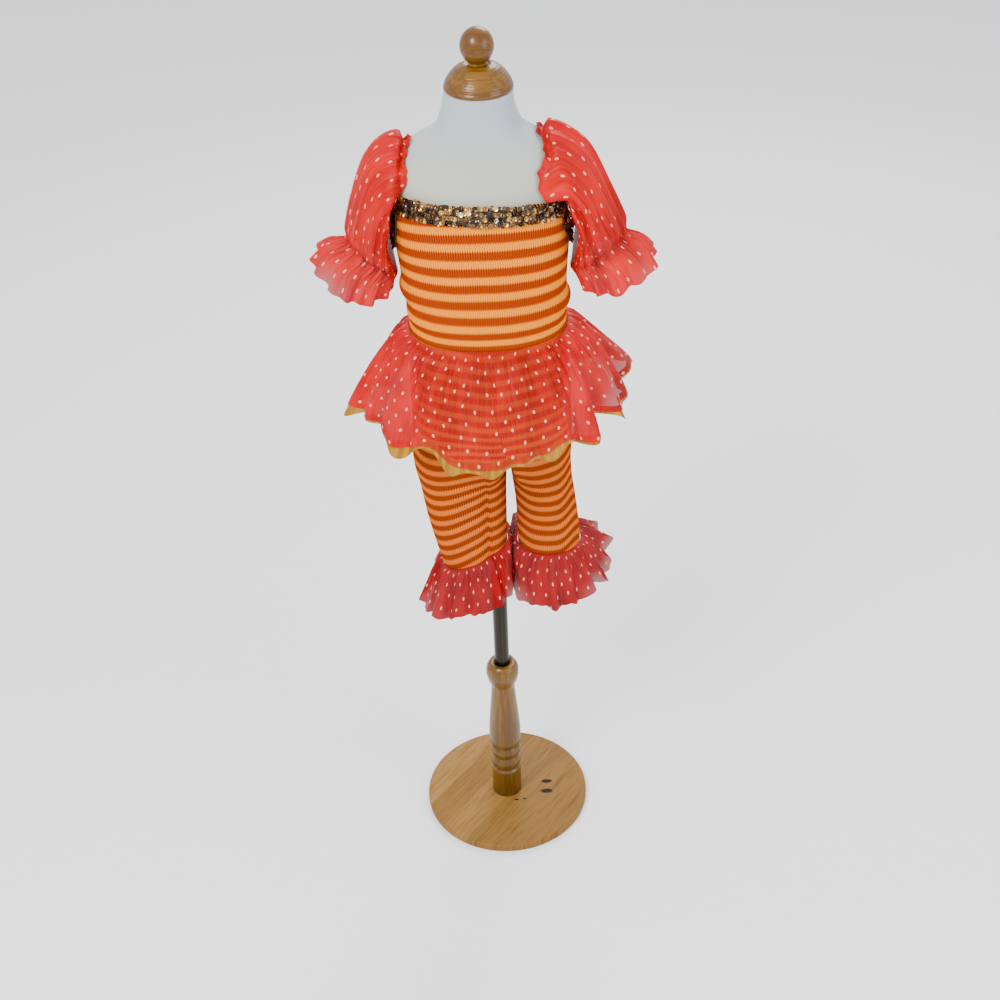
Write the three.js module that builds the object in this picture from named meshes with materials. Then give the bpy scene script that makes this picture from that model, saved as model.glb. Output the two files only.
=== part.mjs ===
// A child's dance costume on a limbless dress form: a striped knit one-piece with cropped legs,
// sheer puff sleeves, a gathered skirt with a bound hem, and a gathered ruffle at each leg.
// Millimetres, +Z up. The front faces -Y, and the wearer's right side lies at -X.
// The origin is the centre of the base's underside.

import * as THREE from "three";

const TAU = Math.PI * 2;
const { lerp, degToRad, smoothstep } = THREE.MathUtils;

// Cloth thicknesses and clearances
const KNIT = 1.6;
const SHEER = 1;
const TRIM_THICK = 1.8;
const EASE = 1.1; // between the form and the knit
const SNUG = 0.7; // how much slimmer the form is under the knit
const SEAM = 0.3; // between pieces that are sewn together
const KNIT_OUT = EASE + KNIT; // the knit's outer face, out from the form
const TRIM_OUT = KNIT_OUT + SEAM + TRIM_THICK;
const LAYER_OUT = TRIM_OUT + SEAM + SHEER; // sheer cloth that lies over the trim

// Heights
const WAIST = 862;
const NECKLINE = 1053; // at the centre front
const SLANT = 0.06; // how fast the neckline falls towards the wearer's left
const UNDERARM = 992;
const DIP = 0.6; // how steeply the armholes dip
const TRIM_WIDE = 20;
const CROTCH = 640;
const POLE_TOP = 684.6;

// The form's cross-sections, from its underside up. It is a squarish oval at each height,
// and it leans a little to the wearer's right.
const SQUARE = 2.25;
const FORM = [
  { z: 685, middle: 0, halfWidth: 84, halfDepth: 58 },
  { z: 690, middle: 0, halfWidth: 94, halfDepth: 67 },
  { z: 706, middle: 0, halfWidth: 100, halfDepth: 73 },
  { z: 760, middle: 0, halfWidth: 103, halfDepth: 78 },
  { z: 815, middle: 0, halfWidth: 100, halfDepth: 78 },
  { z: 870, middle: 0, halfWidth: 98, halfDepth: 75 },
  { z: 930, middle: -2, halfWidth: 101, halfDepth: 74 },
  { z: 990, middle: -3, halfWidth: 106, halfDepth: 75 },
  { z: 1035, middle: -4, halfWidth: 109, halfDepth: 73 },
  { z: 1060, middle: -4, halfWidth: 109.5, halfDepth: 69 },
  { z: 1078, middle: -4, halfWidth: 107.5, halfDepth: 63 },
  { z: 1094, middle: -3, halfWidth: 101, halfDepth: 57 },
  { z: 1105, middle: -2, halfWidth: 90, halfDepth: 53 },
  { z: 1113, middle: -2, halfWidth: 77, halfDepth: 50 },
  { z: 1120, middle: -1, halfWidth: 64, halfDepth: 47.5 },
  { z: 1130, middle: -1, halfWidth: 52, halfDepth: 45.5 },
  { z: 1142, middle: -1, halfWidth: 47, halfDepth: 43 },
  { z: 1158, middle: -1, halfWidth: 42.5, halfDepth: 41 },
  { z: 1172, middle: 0, halfWidth: 41, halfDepth: 40 },
];

// Rolls of the knit at the waist: where each is, how far it stands out and how far it spreads
const ROLLS = [
  { z: 921, at: 182, out: 5, high: 10, spread: 38 },
  { z: 898, at: 2, out: 5.5, high: 10, spread: 34 },
  { z: 888, at: 205, out: 2, high: 8, spread: 40 },
];

// Each half of the leggings, from the waist down. Below the crotch a row is a ring between
// innerX and outerX. drop is how much lower its outer side hangs than its inner side.
const LEG_ROWS = {
  right: [
    { z: 861.7, innerX: 0, outerX: 100, halfDepth: 77, drop: 0 },
    { z: 815, innerX: -2, outerX: 103, halfDepth: 80, drop: 0 },
    { z: 765, innerX: -6, outerX: 106, halfDepth: 80, drop: 0 },
    { z: 720, innerX: -12, outerX: 106, halfDepth: 77, drop: 0 },
    { z: 704, innerX: -15, outerX: 107, halfDepth: 73, drop: 0 },
    { z: 684, innerX: -18, outerX: 108, halfDepth: 68, drop: 2 },
    { z: 677, innerX: -18.6, outerX: 108.5, halfDepth: 66, drop: 3 },
    { z: 669, innerX: -19.2, outerX: 109, halfDepth: 62, drop: 5 },
    { z: 654, innerX: -19.6, outerX: 108, halfDepth: 58, drop: 8 },
    { z: 622, innerX: -17, outerX: 102, halfDepth: 52, drop: 16 },
    { z: 575, innerX: -15.5, outerX: 95, halfDepth: 46, drop: 26 },
    { z: 532, innerX: -15, outerX: 86, halfDepth: 42, drop: 33 },
    { z: 493, innerX: -14.5, outerX: 77, halfDepth: 39, drop: 38 },
  ],
  left: [
    { z: 861.7, innerX: 0, outerX: 100, halfDepth: 77, drop: 0 },
    { z: 815, innerX: 2, outerX: 103, halfDepth: 80, drop: 0 },
    { z: 765, innerX: 6, outerX: 106, halfDepth: 80, drop: 0 },
    { z: 720, innerX: 12, outerX: 106, halfDepth: 77, drop: 0 },
    { z: 704, innerX: 15, outerX: 106, halfDepth: 73, drop: 0 },
    { z: 684, innerX: 19, outerX: 106, halfDepth: 68, drop: 0 },
    { z: 677, innerX: 19.4, outerX: 106, halfDepth: 66, drop: 0 },
    { z: 669, innerX: 19.8, outerX: 106, halfDepth: 62, drop: 0 },
    { z: 654, innerX: 20.6, outerX: 105, halfDepth: 57, drop: 0 },
    { z: 622, innerX: 24, outerX: 106, halfDepth: 50, drop: 0 },
    { z: 580, innerX: 28, outerX: 111, halfDepth: 44, drop: 0 },
    { z: 540, innerX: 29.5, outerX: 115, halfDepth: 41, drop: 0 },
    { z: 507, innerX: 29.5, outerX: 117, halfDepth: 39, drop: 0 },
  ],
};
const SEAM_SHARE = 0.14; // share of a hip ring that lies along the centre seam, at each end
const INSEAM = 0.0015; // share of a leg's ring left open along its inseam, at each end
const SEAM_TOP = 684; // above this the two halves part wholly at the centre seam
const ROUND_FROM = 700; // the hip's half oval turns into the leg's ring from here
const ROUND_TO = 610; // to here
const BACK_RISE = 14; // how much higher a leg's hem lies at the back

// The crease beside the pole that shows down the right leg
const CREASE = { x: -9, half: 9, deep: 5, from: 640, to: 600 };

// Each sleeve from the neck edge's drawn-in line out to its hem. A row is a ring through an
// outer point and an inner point, with its half depth, how far its front dips, and the height
// of its folds.
const SLEEVE = {
  right: {
    strapX: 89,
    strapDepth: 46,
    armholeDepth: 36,
    rows: [
      { outX: 98, outZ: 1119, inX: 119, inZ: 990, depth: 58, dip: 0, gather: 2.2, wave: 0 },
      { outX: 118, outZ: 1114, inX: 120, inZ: 978, depth: 58, dip: 0, gather: 2.6, wave: 0 },
      { outX: 139, outZ: 1094, inX: 116.5, inZ: 965, depth: 57, dip: 0, gather: 2.4, wave: 0 },
      { outX: 157, outZ: 1049, inX: 113, inZ: 951, depth: 51, dip: 0, gather: 2.6, wave: 0 },
      { outX: 169, outZ: 1003, inX: 111, inZ: 942, depth: 40, dip: 0, gather: 2.6, wave: 0 },
      { outX: 171, outZ: 985, inX: 110.5, inZ: 936, depth: 27, dip: 2, gather: 1.8, wave: 0 },
      { outX: 196, outZ: 977, inX: 117.5, inZ: 928, depth: 37, dip: 8, gather: 0, wave: 4.5 },
      { outX: 214, outZ: 959, inX: 122, inZ: 919, depth: 50, dip: 16, gather: 0, wave: 8 },
    ],
  },
  left: {
    strapX: 72,
    strapDepth: 59,
    armholeDepth: 38,
    rows: [
      { outX: 83, outZ: 1127, inX: 117, inZ: 990, depth: 60, dip: 0, gather: 2.2, wave: 0 },
      { outX: 109, outZ: 1115, inX: 115, inZ: 978, depth: 60, dip: 0, gather: 2.6, wave: 0 },
      { outX: 132, outZ: 1092, inX: 112, inZ: 965, depth: 59, dip: 0, gather: 2.4, wave: 0 },
      { outX: 154, outZ: 1045, inX: 109, inZ: 951, depth: 53, dip: 0, gather: 2.6, wave: 0 },
      { outX: 172, outZ: 1002, inX: 107, inZ: 941, depth: 41, dip: 0, gather: 2.6, wave: 0 },
      { outX: 176, outZ: 981, inX: 106, inZ: 935, depth: 27, dip: 2, gather: 1.8, wave: 0 },
      { outX: 200, outZ: 968, inX: 112, inZ: 926, depth: 37, dip: 7, gather: 0, wave: 4.5 },
      { outX: 213, outZ: 950, inX: 117, inZ: 920, depth: 50, dip: 14, gather: 0, wave: 8 },
    ],
  },
};
const SHOULDER_OUT = 2.8; // level distance from the shoulder's slope out to the sleeve's line
const STRAP_LIFT = 2; // from the one-piece's top edge up to the sleeve's line
const STRAP_BEND = 1.2; // how late the line rises over the shoulder
const SEAM_EDGE = 2.2; // the sheer cloth's edge past the line at the armhole
const FRILL = 9; // the frill past the drawn-in line, on the neck side
const FLUTTER = 2.4; // how far the frill's edge goes up and down
const FLUTTER_LAG = 1.2; // how far round its waves lie from the gathers
const GATHERS = 16; // round one sleeve
const CUFF_WAVES = 12;

// The skirt from the waist seam to its hem. share is the way down the cloth.
const SKIRT_ROWS = [
  { share: 0, z: 861.7, halfWidth: 102.3, halfDepth: 79.4, gather: 0, wave: 0 },
  { share: 0.1, z: 850, halfWidth: 114, halfDepth: 91, gather: 2.4, wave: 0.5 },
  { share: 0.32, z: 823, halfWidth: 133, halfDepth: 107, gather: 1.6, wave: 2 },
  { share: 0.56, z: 794, halfWidth: 150, halfDepth: 122, gather: 0.6, wave: 3.5 },
  { share: 0.8, z: 765, halfWidth: 163, halfDepth: 135, gather: 0, wave: 5 },
  { share: 1, z: 742, halfWidth: 170, halfDepth: 143, gather: 0, wave: 6 },
  { share: 1.2, z: 719, halfWidth: 177, halfDepth: 151, gather: 0, wave: 7 },
];
const SKIRT_WAVES = 18;
const SKIRT_GATHERS = 30;

// The skirt's large folds at the hem: where each is, how far it stands out or in, and how wide
const SKIRT_FOLDS = [
  { at: 24, out: 32, up: 19, spread: 13 },
  { at: -9, out: 8, up: 0, spread: 9 },
  { at: -28, out: -26, up: 8, spread: 8 },
  { at: -43, out: 7, up: -9, spread: 7 },
  { at: -55, out: -4, up: 10, spread: 7 },
  { at: -71, out: 8, up: 0, spread: 7 },
  { at: -91, out: 10, up: -14, spread: 8 },
  { at: -107, out: 6, up: -8, spread: 7 },
  { at: -122, out: -5, up: 12, spread: 7 },
  { at: -134, out: 8, up: -2, spread: 6 },
  { at: -150, out: -2, up: 12, spread: 9 },
  { at: -165, out: -3, up: 8, spread: 7 },
  { at: 181, out: 13, up: 4, spread: 9 },
  { at: 155, out: -9, up: 2, spread: 9 },
  { at: 128, out: 14, up: -6, spread: 12 },
  { at: 103, out: -7, up: 5, spread: 9 },
  { at: 80, out: 10, up: -5, spread: 10 },
  { at: 58, out: -9, up: 3, spread: 9 },
];
const BAND_FROM = 0.93; // share of the skirt where the inner edge of the hem's band lies
const BAND_TO = 1.045; // and where the band ends, past the sheer cloth

// The ruffles at the legs
const RUFFLE_WAVES = 16;
const RUFFLE = { drop: 68, flare: 36, wave: 7.5 };

// Each ruffle's lobes, as if worn on the left side: 0 degrees points outwards and 90 back
const RUFFLE_LOBES = {
  right: [
    { at: 78, out: 18, up: 48, spread: 26 },
    { at: 28, out: -14, up: 4, spread: 20 },
    { at: -90, out: -4, up: 6, spread: 40 },
    { at: 142, out: 10, up: 54, spread: 26 },
  ],
  left: [
    { at: 38, out: 18, up: 30, spread: 32 },
    { at: -35, out: 0, up: 12, spread: 22 },
    { at: 125, out: 14, up: 60, spread: 30 },
  ],
};
const MID_GAP = 21.2; // the plane between the two ruffles
const MID_CLEAR = 0.6;

// The stand
const POLE_RADIUS = 11;
const BASE_RADIUS = 125;
const BASE_HIGH = 13;
const COLUMN_FOOT = BASE_HIGH + SEAM;
const SOCKET_FLOOR = 200;
const SOCKET_RADIUS = POLE_RADIUS + 0.3;
const COLUMN_TOP = 279;
const CAP_FOOT = 1172.3;
const CAP_TOP = 1201;
const FINIAL_TOP = 1245.5;

// Colours, as the photograph shows them
const paint = (color, roughness, metalness = 0) =>
  new THREE.MeshStandardMaterial({ color, roughness, metalness });
const knitCloth = paint(0xd9631c, 0.9);
const sheerCloth = paint(0xd8403a, 0.6);
const goldSatin = paint(0xcf9a3c, 0.4);
const sequinTrim = paint(0x5a4420, 0.3, 0.6);
const jersey = paint(0xd9d6cb, 0.9);
const turnedWood = paint(0xb07a34, 0.35);
const basePlank = paint(0xb98a50, 0.5);
const steel = paint(0x77736a, 0.3, 0.9);

// A row between the rows of a table, which are ordered by key
function rowAt(table, key, at) {
  const rising = table[0][key] < table[table.length - 1][key];
  let i = 1;
  while (i < table.length - 1 && (rising ? at > table[i][key] : at < table[i][key])) {
    i += 1;
  }
  const [low, high] = [table[i - 1], table[i]];
  const t = (at - low[key]) / (high[key] - low[key]);
  return Object.fromEntries(Object.keys(low).map((name) => [name, lerp(low[name], high[name], t)]));
}

const bell = (distance, half) => Math.exp(-((distance / half) ** 2));

// The shortest way round from one angle to another, in degrees
const turnBetween = (a, b) => ((((a - b) % 360) + 540) % 360) - 180;

// A point of a squarish oval
function oval(halfWidth, halfDepth, angle) {
  const power = 2 / SQUARE;
  const [c, s] = [Math.cos(angle), Math.sin(angle)];
  return [
    halfWidth * Math.sign(c) * Math.abs(c) ** power,
    halfDepth * Math.sign(s) * Math.abs(s) ** power,
  ];
}

// A point out from the form's surface, at an angle and a height
function onForm(angle, z, out) {
  const row = rowAt(FORM, "z", z);
  const [x, y] = oval(row.halfWidth + out, row.halfDepth + out, angle);
  return new THREE.Vector3(row.middle + x, y, z);
}

// How far out one side of the form reaches at a depth and a height, with a layer on it.
// sign is -1 on the wearer's right side and 1 on the left.
function formReach(sign, y, z, out) {
  const row = rowAt(FORM, "z", z);
  const share = Math.min(1, Math.abs(y) / (row.halfDepth + out));
  return sign * row.middle + (row.halfWidth + out) * (1 - share ** SQUARE) ** (1 / SQUARE);
}

// How high the form's shoulder is at a place that far out, with a layer on it
function shoulderZ(sign, reach, y, out) {
  let [low, high] = [UNDERARM, FORM[FORM.length - 1].z];
  for (let i = 0; i < 30; i += 1) {
    const middle = (low + high) / 2;
    if (formReach(sign, y, middle, out) > reach) {
      low = middle;
    } else {
      high = middle;
    }
  }
  return low;
}

// A geometry from points and triangles
function geometryOf(points, faces) {
  const geometry = new THREE.BufferGeometry();
  geometry.setAttribute(
    "position",
    new THREE.Float32BufferAttribute(
      points.flatMap((p) => p.toArray()),
      3,
    ),
  );
  geometry.setIndex(faces.flat());
  geometry.computeVertexNormals();
  return geometry;
}

// The outward direction at each point of a sheet. Its rows run down, and its columns run
// anticlockwise seen from above. The first and last rows point level, so that seams meet.
function outwards(rows, ring) {
  const last = rows[0].length - 1;
  return rows.map((row, j) =>
    row.map((_, i) => {
      const before = ring && i === 0 ? row[last] : row[Math.max(i - 1, 0)];
      const after = ring && i === last ? row[0] : row[Math.min(i + 1, last)];
      const above = rows[Math.max(j - 1, 0)][i];
      const below = rows[Math.min(j + 1, rows.length - 1)][i];
      const along = new THREE.Vector3().subVectors(after, before);
      const down = new THREE.Vector3().subVectors(below, above);
      return down.cross(along).normalize();
    }),
  );
}

// Turns the outward directions of a sheet's first or last row level
function levelled(directions, ends) {
  ends.forEach((end) => {
    const row = end === "first" ? directions[0] : directions[directions.length - 1];
    row.forEach((direction) => direction.setZ(0).normalize());
  });
  return directions;
}

// Evens out the directions along each row, so that the inner face stays clear of itself
function evened(directions, ring) {
  const last = directions[0].length - 1;
  return directions.map((row) =>
    row.map((direction, i) => {
      const before = ring && i === 0 ? row[last] : row[Math.max(i - 1, 0)];
      const after = ring && i === last ? row[0] : row[Math.min(i + 1, last)];
      return direction.clone().multiplyScalar(2).add(before).add(after).normalize();
    }),
  );
}

// A wall of cloth: its outer face is the sheet, and its inner face lies a thickness inside
function clothWall(rows, thickness, { ring = true, level = [] } = {}) {
  const directions = levelled(evened(evened(outwards(rows, ring), ring), ring), level);
  const wide = rows[0].length;
  const points = rows.flat().map((p) => p.clone());
  const inner = rows.flatMap((row, j) =>
    row.map((p, i) => p.clone().addScaledVector(directions[j][i], -thickness)),
  );
  const across = points.length;
  points.push(...inner);
  const faces = [];
  const quad = (a, b, c, d) => faces.push([a, b, c], [a, c, d]);
  const steps = ring ? wide : wide - 1;
  const at = (j, i) => j * wide + (i % wide);
  for (let i = 0; i < steps; i += 1) {
    for (let j = 0; j < rows.length - 1; j += 1) {
      const [a, b, c, d] = [at(j, i), at(j + 1, i), at(j + 1, i + 1), at(j, i + 1)];
      quad(a, b, c, d);
      quad(across + a, across + d, across + c, across + b);
    }
    const [top, foot] = [0, rows.length - 1];
    quad(at(top, i), at(top, i + 1), across + at(top, i + 1), across + at(top, i));
    quad(at(foot, i + 1), at(foot, i), across + at(foot, i), across + at(foot, i + 1));
  }
  if (!ring) {
    for (let j = 0; j < rows.length - 1; j += 1) {
      const [start, end] = [0, wide - 1];
      quad(at(j, start), across + at(j, start), across + at(j + 1, start), at(j + 1, start));
      quad(at(j + 1, end), across + at(j + 1, end), across + at(j, end), at(j, end));
    }
  }
  return geometryOf(points, faces);
}

// A solid skinned over rings of points, from the top ring down, closed flat at both ends
function skinned(rings) {
  const wide = rings[0].length;
  const points = rings.flat();
  const faces = [];
  rings.slice(1).forEach((_, j) => {
    for (let i = 0; i < wide; i += 1) {
      const [a, d] = [j * wide + i, j * wide + ((i + 1) % wide)];
      faces.push([a, a + wide, d + wide], [a, d + wide, d]);
    }
  });
  const middleOf = (ring) =>
    ring.reduce((sum, p) => sum.add(p), new THREE.Vector3()).divideScalar(ring.length);
  const [head, foot] = [points.length, points.length + 1];
  points.push(middleOf(rings[0]), middleOf(rings[rings.length - 1]));
  const lowest = (rings.length - 1) * wide;
  for (let i = 0; i < wide; i += 1) {
    const next = (i + 1) % wide;
    faces.push([head, i, next], [foot, lowest + next, lowest + i]);
  }
  return geometryOf(points, faces);
}

// A turned solid from its outline, given as radius and height
function turned(outline, steps) {
  const profile = outline.map(([radius, height]) => new THREE.Vector2(radius, height));
  return new THREE.LatheGeometry(profile, steps).rotateX(Math.PI / 2);
}

// An arc of an outline, from one angle to another in degrees
function arc(centreRadius, centreZ, radius, high, from, to, steps) {
  return Array.from({ length: steps + 1 }, (_, i) => {
    const angle = degToRad(lerp(from, to, i / steps));
    return [centreRadius + radius * Math.cos(angle), centreZ + high * Math.sin(angle)];
  });
}

function torso() {
  const steps = 36;
  const rings = [...FORM].reverse().map((row) => {
    const out = row.z < NECKLINE + TRIM_WIDE ? -SNUG : 0;
    return Array.from({ length: steps }, (_, i) => onForm((TAU * i) / steps, row.z, out));
  });
  return skinned(rings);
}

// The height of the one-piece's top edge: it slants a little, and dips at the armholes
function topEdgeAt(x, y) {
  const size = x < 0 ? SLEEVE.right : SLEEVE.left;
  const inside = Math.max(0, 1 - (y / size.armholeDepth) ** 2);
  const edge = NECKLINE - SLANT * x;
  return lerp(edge, UNDERARM, inside ** DIP);
}

function topEdge(angle) {
  const { x, y } = onForm(angle, NECKLINE, 0);
  return topEdgeAt(x, y);
}

// How far the knit stands out at the waist's rolls
function rollOut(angle, z) {
  return ROLLS.reduce((sum, roll) => {
    const away = turnBetween((angle * 360) / TAU, roll.at);
    return sum + roll.out * bell(z - roll.z, roll.high) * bell(away, roll.spread);
  }, 0);
}

function bodicePoint(angle, z) {
  const fade = smoothstep(z, WAIST, WAIST + 14);
  return onForm(angle, z, KNIT_OUT + fade * rollOut(angle, z));
}

// One panel of the bodice, between the side seams
function bodicePanel(from, to) {
  const [columns, bands] = [18, 7];
  const half = SEAM / FORM[0].halfWidth;
  const rows = [];
  for (let j = 0; j <= bands + 1; j += 1) {
    const row = [];
    for (let i = 0; i <= columns; i += 1) {
      const angle = lerp(degToRad(from) + half, degToRad(to) - half, i / columns);
      const top = topEdge(angle);
      const z = j === 0 ? top : lerp(top - TRIM_WIDE, WAIST, (j - 1) / bands);
      row.push(bodicePoint(angle, z));
    }
    rows.push(row);
  }
  return clothWall(rows, KNIT, { ring: false, level: ["first", "last"] });
}

// The sequined braid's tape, laid on the top edge all round
function trimTape() {
  const columns = 36;
  const rows = [0.5, TRIM_WIDE - 0.5].map((below) =>
    Array.from({ length: columns }, (_, i) => {
      const angle = (TAU * i) / columns;
      return onForm(angle, topEdge(angle) - below, TRIM_OUT);
    }),
  );
  return clothWall(rows, TRIM_THICK, { level: ["first", "last"] });
}

// A ring of one leg, as if worn on the left side. Its start is the middle of the inner side.
function legRing(row, share) {
  const angle = Math.PI + TAU * share;
  const [middle, half] = [(row.innerX + row.outerX) / 2, (row.outerX - row.innerX) / 2];
  return new THREE.Vector3(
    middle + half * Math.cos(angle),
    row.halfDepth * Math.sin(angle),
    row.z,
  );
}

// Half of the hips, with a flat side along the centre seam
function hipRing(row, share) {
  const seamX = row.innerX + SEAM;
  const { z } = row;
  const form = rowAt(FORM, "z", Math.max(z, FORM[1].z));
  const halfWidth = Math.max(row.outerX, form.halfWidth + KNIT_OUT);
  const halfDepth = Math.max(row.halfDepth, form.halfDepth + KNIT_OUT);
  const sign = Math.sign(seamX);
  const corner = Math.acos(sign * Math.abs(seamX / halfWidth) ** (SQUARE / 2));
  const round = (share - SEAM_SHARE) / (1 - 2 * SEAM_SHARE);
  const [x, y] = oval(halfWidth, halfDepth, lerp(-corner, corner, THREE.MathUtils.clamp(round, 0, 1)));
  if (round < 0) {
    return new THREE.Vector3(seamX, (y * share) / SEAM_SHARE, z);
  }
  if (round > 1) {
    return new THREE.Vector3(seamX, (y * (1 - share)) / SEAM_SHARE, z);
  }
  return new THREE.Vector3(x, y, z);
}

// A point of a leg's outer face, mirrored for the right leg
function legPoint(side, row, share) {
  const round = 1 - smoothstep(row.z, ROUND_TO, ROUND_FROM);
  const point = hipRing(row, share).lerp(legRing(row, share), round);
  const across = (point.x - row.innerX) / (row.outerX - row.innerX);
  point.z += row.drop * (0.5 - across);
  const hem = LEG_ROWS[side][LEG_ROWS[side].length - 1].z;
  const low = THREE.MathUtils.clamp((CROTCH - row.z) / (CROTCH - hem), 0, 1);
  point.z += (BACK_RISE * low * Math.max(0, point.y)) / row.halfDepth;
  if (side === "right") {
    point.x = -point.x;
    const fade = 1 - smoothstep(row.z, CREASE.to, CREASE.from);
    const dip = CREASE.deep * fade * bell(point.x - CREASE.x, CREASE.half);
    point.y -= Math.sign(point.y) * Math.min(dip, Math.abs(point.y) / 3);
  }
  return point;
}

function legging(side) {
  const columns = 32;
  const rows = LEG_ROWS[side].map((row) => {
    const parted = SEAM_SHARE * smoothstep(row.z, CROTCH, SEAM_TOP);
    const edge = Math.max(parted, INSEAM);
    const points = Array.from({ length: columns + 1 }, (_, i) =>
      legPoint(side, row, lerp(edge, 1 - edge, i / columns)),
    );
    return side === "right" ? points.reverse() : points;
  });
  return clothWall(rows, KNIT, { ring: false, level: ["first", "last"] });
}

// The ruffle below a leg: it starts at the leg's edge and flares all round, and stays on its
// own side of the plane between the legs
function legRuffle(side) {
  const columns = 64;
  const sign = side === "right" ? -1 : 1;
  const hem = LEG_ROWS[side][LEG_ROWS[side].length - 1];
  const shares = [0, 0.3, 0.66, 1];
  const rows = shares.map((down) =>
    Array.from({ length: columns }, (_, i) => {
      const share = side === "right" ? 1 - i / columns : i / columns;
      const start = legPoint(side, hem, share);
      start.z -= 2 * SEAM;
      const angle = Math.PI + TAU * share;
      const outward = new THREE.Vector3(sign * Math.cos(angle), Math.sin(angle), 0);
      const wave = RUFFLE.wave * down * Math.cos(RUFFLE_WAVES * angle);
      let flare = RUFFLE.flare * down ** 0.8;
      let drop = RUFFLE.drop * down ** 1.25;
      RUFFLE_LOBES[side].forEach((lobe) => {
        const near = bell(turnBetween((angle * 360) / TAU, lobe.at), lobe.spread);
        flare += lobe.out * near * down;
        drop -= lobe.up * near * down ** 1.5;
      });
      const towards = Math.max(-sign * outward.x, 0.001);
      const room = (sign * (start.x - MID_GAP) - MID_CLEAR) / towards;
      const reach = room * Math.tanh((flare + wave) / room);
      const point = start.addScaledVector(outward, reach);
      point.z -= drop - 0.35 * wave;
      return point;
    }),
  );
  return clothWall(rows, SHEER, { level: ["first"] });
}

// A point of a sleeve's drawn-in line: over the shoulder, and down round the armhole
function strapPoint(side, turn, ripple) {
  const size = SLEEVE[side];
  const sign = side === "right" ? -1 : 1;
  const up = Math.cos(turn);
  const y = size.strapDepth * Math.sin(turn);
  const footZ = NECKLINE + STRAP_LIFT - sign * SLANT * size.strapX;
  const footX = formReach(sign, size.strapDepth, footZ, LAYER_OUT);
  if (up > 0) {
    const topZ = shoulderZ(sign, size.strapX, 0, SHOULDER_OUT);
    const z = lerp(footZ, topZ, up ** STRAP_BEND);
    const out = lerp(LAYER_OUT, SHOULDER_OUT, smoothstep(up, 0, 0.4)) + ripple;
    return new THREE.Vector3(formReach(sign, y, z, out), y, z + ripple);
  }
  const half = lerp(size.strapDepth, size.armholeDepth, smoothstep(-up, 0, 0.35));
  const edgeY = Math.sign(y) * half * Math.sqrt(1 - Math.min(1, -up) ** (1 / DIP));
  const edgeZ = topEdgeAt(sign * footX, edgeY) + STRAP_LIFT;
  return new THREE.Vector3(formReach(sign, edgeY, edgeZ, LAYER_OUT + ripple), edgeY, edgeZ);
}

// A point of one ring of a sleeve
function sleevePoint(row, turn) {
  const outer = new THREE.Vector3(row.outX, 0, row.outZ);
  const inner = new THREE.Vector3(row.inX, 0, row.inZ);
  const middle = new THREE.Vector3().lerpVectors(outer, inner, 0.5);
  const reach = new THREE.Vector3().subVectors(outer, middle);
  const offset = reach
    .clone()
    .multiplyScalar(Math.cos(turn))
    .add(new THREE.Vector3(0, row.depth * Math.sin(turn), row.dip * Math.sin(turn)));
  const fold = row.gather * Math.cos(GATHERS * turn) + row.wave * Math.cos(CUFF_WAVES * turn);
  const inward = smoothstep(-Math.cos(turn), 0.6, 1) * (row.wave > 0 ? 0 : 1);
  const direction = offset.clone().normalize();
  return middle.add(offset).addScaledVector(direction, fold * (1 - inward));
}

function sleeve(side) {
  const columns = 48;
  const sign = side === "right" ? -1 : 1;
  const turns = Array.from({ length: columns }, (_, i) => (sign * TAU * i) / columns);
  const ripple = (turn) => smoothstep(Math.abs(Math.cos(turn)), 0.2, 0.6) * (1 + Math.cos(GATHERS * turn));
  const drawn = turns.map((turn) => strapPoint(side, turn, ripple(turn)));
  const rings = SLEEVE[side].rows.map((row) => turns.map((turn) => sleevePoint(row, turn)));
  const frill = turns.map((turn, i) => {
    const on = smoothstep(Math.cos(turn), 0, 0.5);
    const flutter = FLUTTER * Math.cos(GATHERS * turn + FLUTTER_LAG);
    const top = smoothstep(Math.cos(turn), 0, 0.7);
    const towards = new THREE.Vector3(-0.75, Math.sin(turn) * lerp(0.5, 0.2, top), lerp(0.1, 0.6, top));
    const away = drawn[i].clone().sub(rings[0][i]).setLength(SEAM_EDGE);
    const reach = towards.multiplyScalar(FRILL);
    reach.z += flutter;
    return drawn[i].clone().add(away.lerp(reach, on));
  });
  const rows = [frill, drawn, ...rings];
  rows.flat().forEach((point) => point.setX(sign * point.x));
  return clothWall(rows, SHEER);
}

// A point of the skirt's outer face, at an angle and a share of the way down its cloth
function skirtPoint(angle, share) {
  const row = rowAt(SKIRT_ROWS, "share", share);
  const degrees = (angle * 360) / TAU;
  const grown = share ** 1.3;
  let [out, up] = [0, 0];
  SKIRT_FOLDS.forEach((fold) => {
    const near = bell(turnBetween(degrees, fold.at), fold.spread) * grown;
    out += fold.out * near;
    up += fold.up * near;
  });
  out += row.wave * Math.cos(SKIRT_WAVES * angle + 0.8 * Math.sin(2 * angle));
  out += row.gather * (1 + Math.cos(SKIRT_GATHERS * angle));
  const x = (row.halfWidth + out) * Math.cos(angle);
  const y = (row.halfDepth + out) * Math.sin(angle);
  return new THREE.Vector3(x, y, row.z + up);
}

function skirtRows(shares) {
  const columns = 90;
  return shares.map((share) =>
    Array.from({ length: columns }, (_, i) => {
      const angle = (TAU * i) / columns;
      if (share > 0) {
        return skirtPoint(angle, share);
      }
      return onForm(angle, SKIRT_ROWS[0].z, KNIT_OUT + SEAM + SHEER + 0.3);
    }),
  );
}

function skirt() {
  const shares = SKIRT_ROWS.map((row) => row.share).filter((share) => share <= 1);
  return clothWall(skirtRows(shares), SHEER, { level: ["first"] });
}

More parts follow.
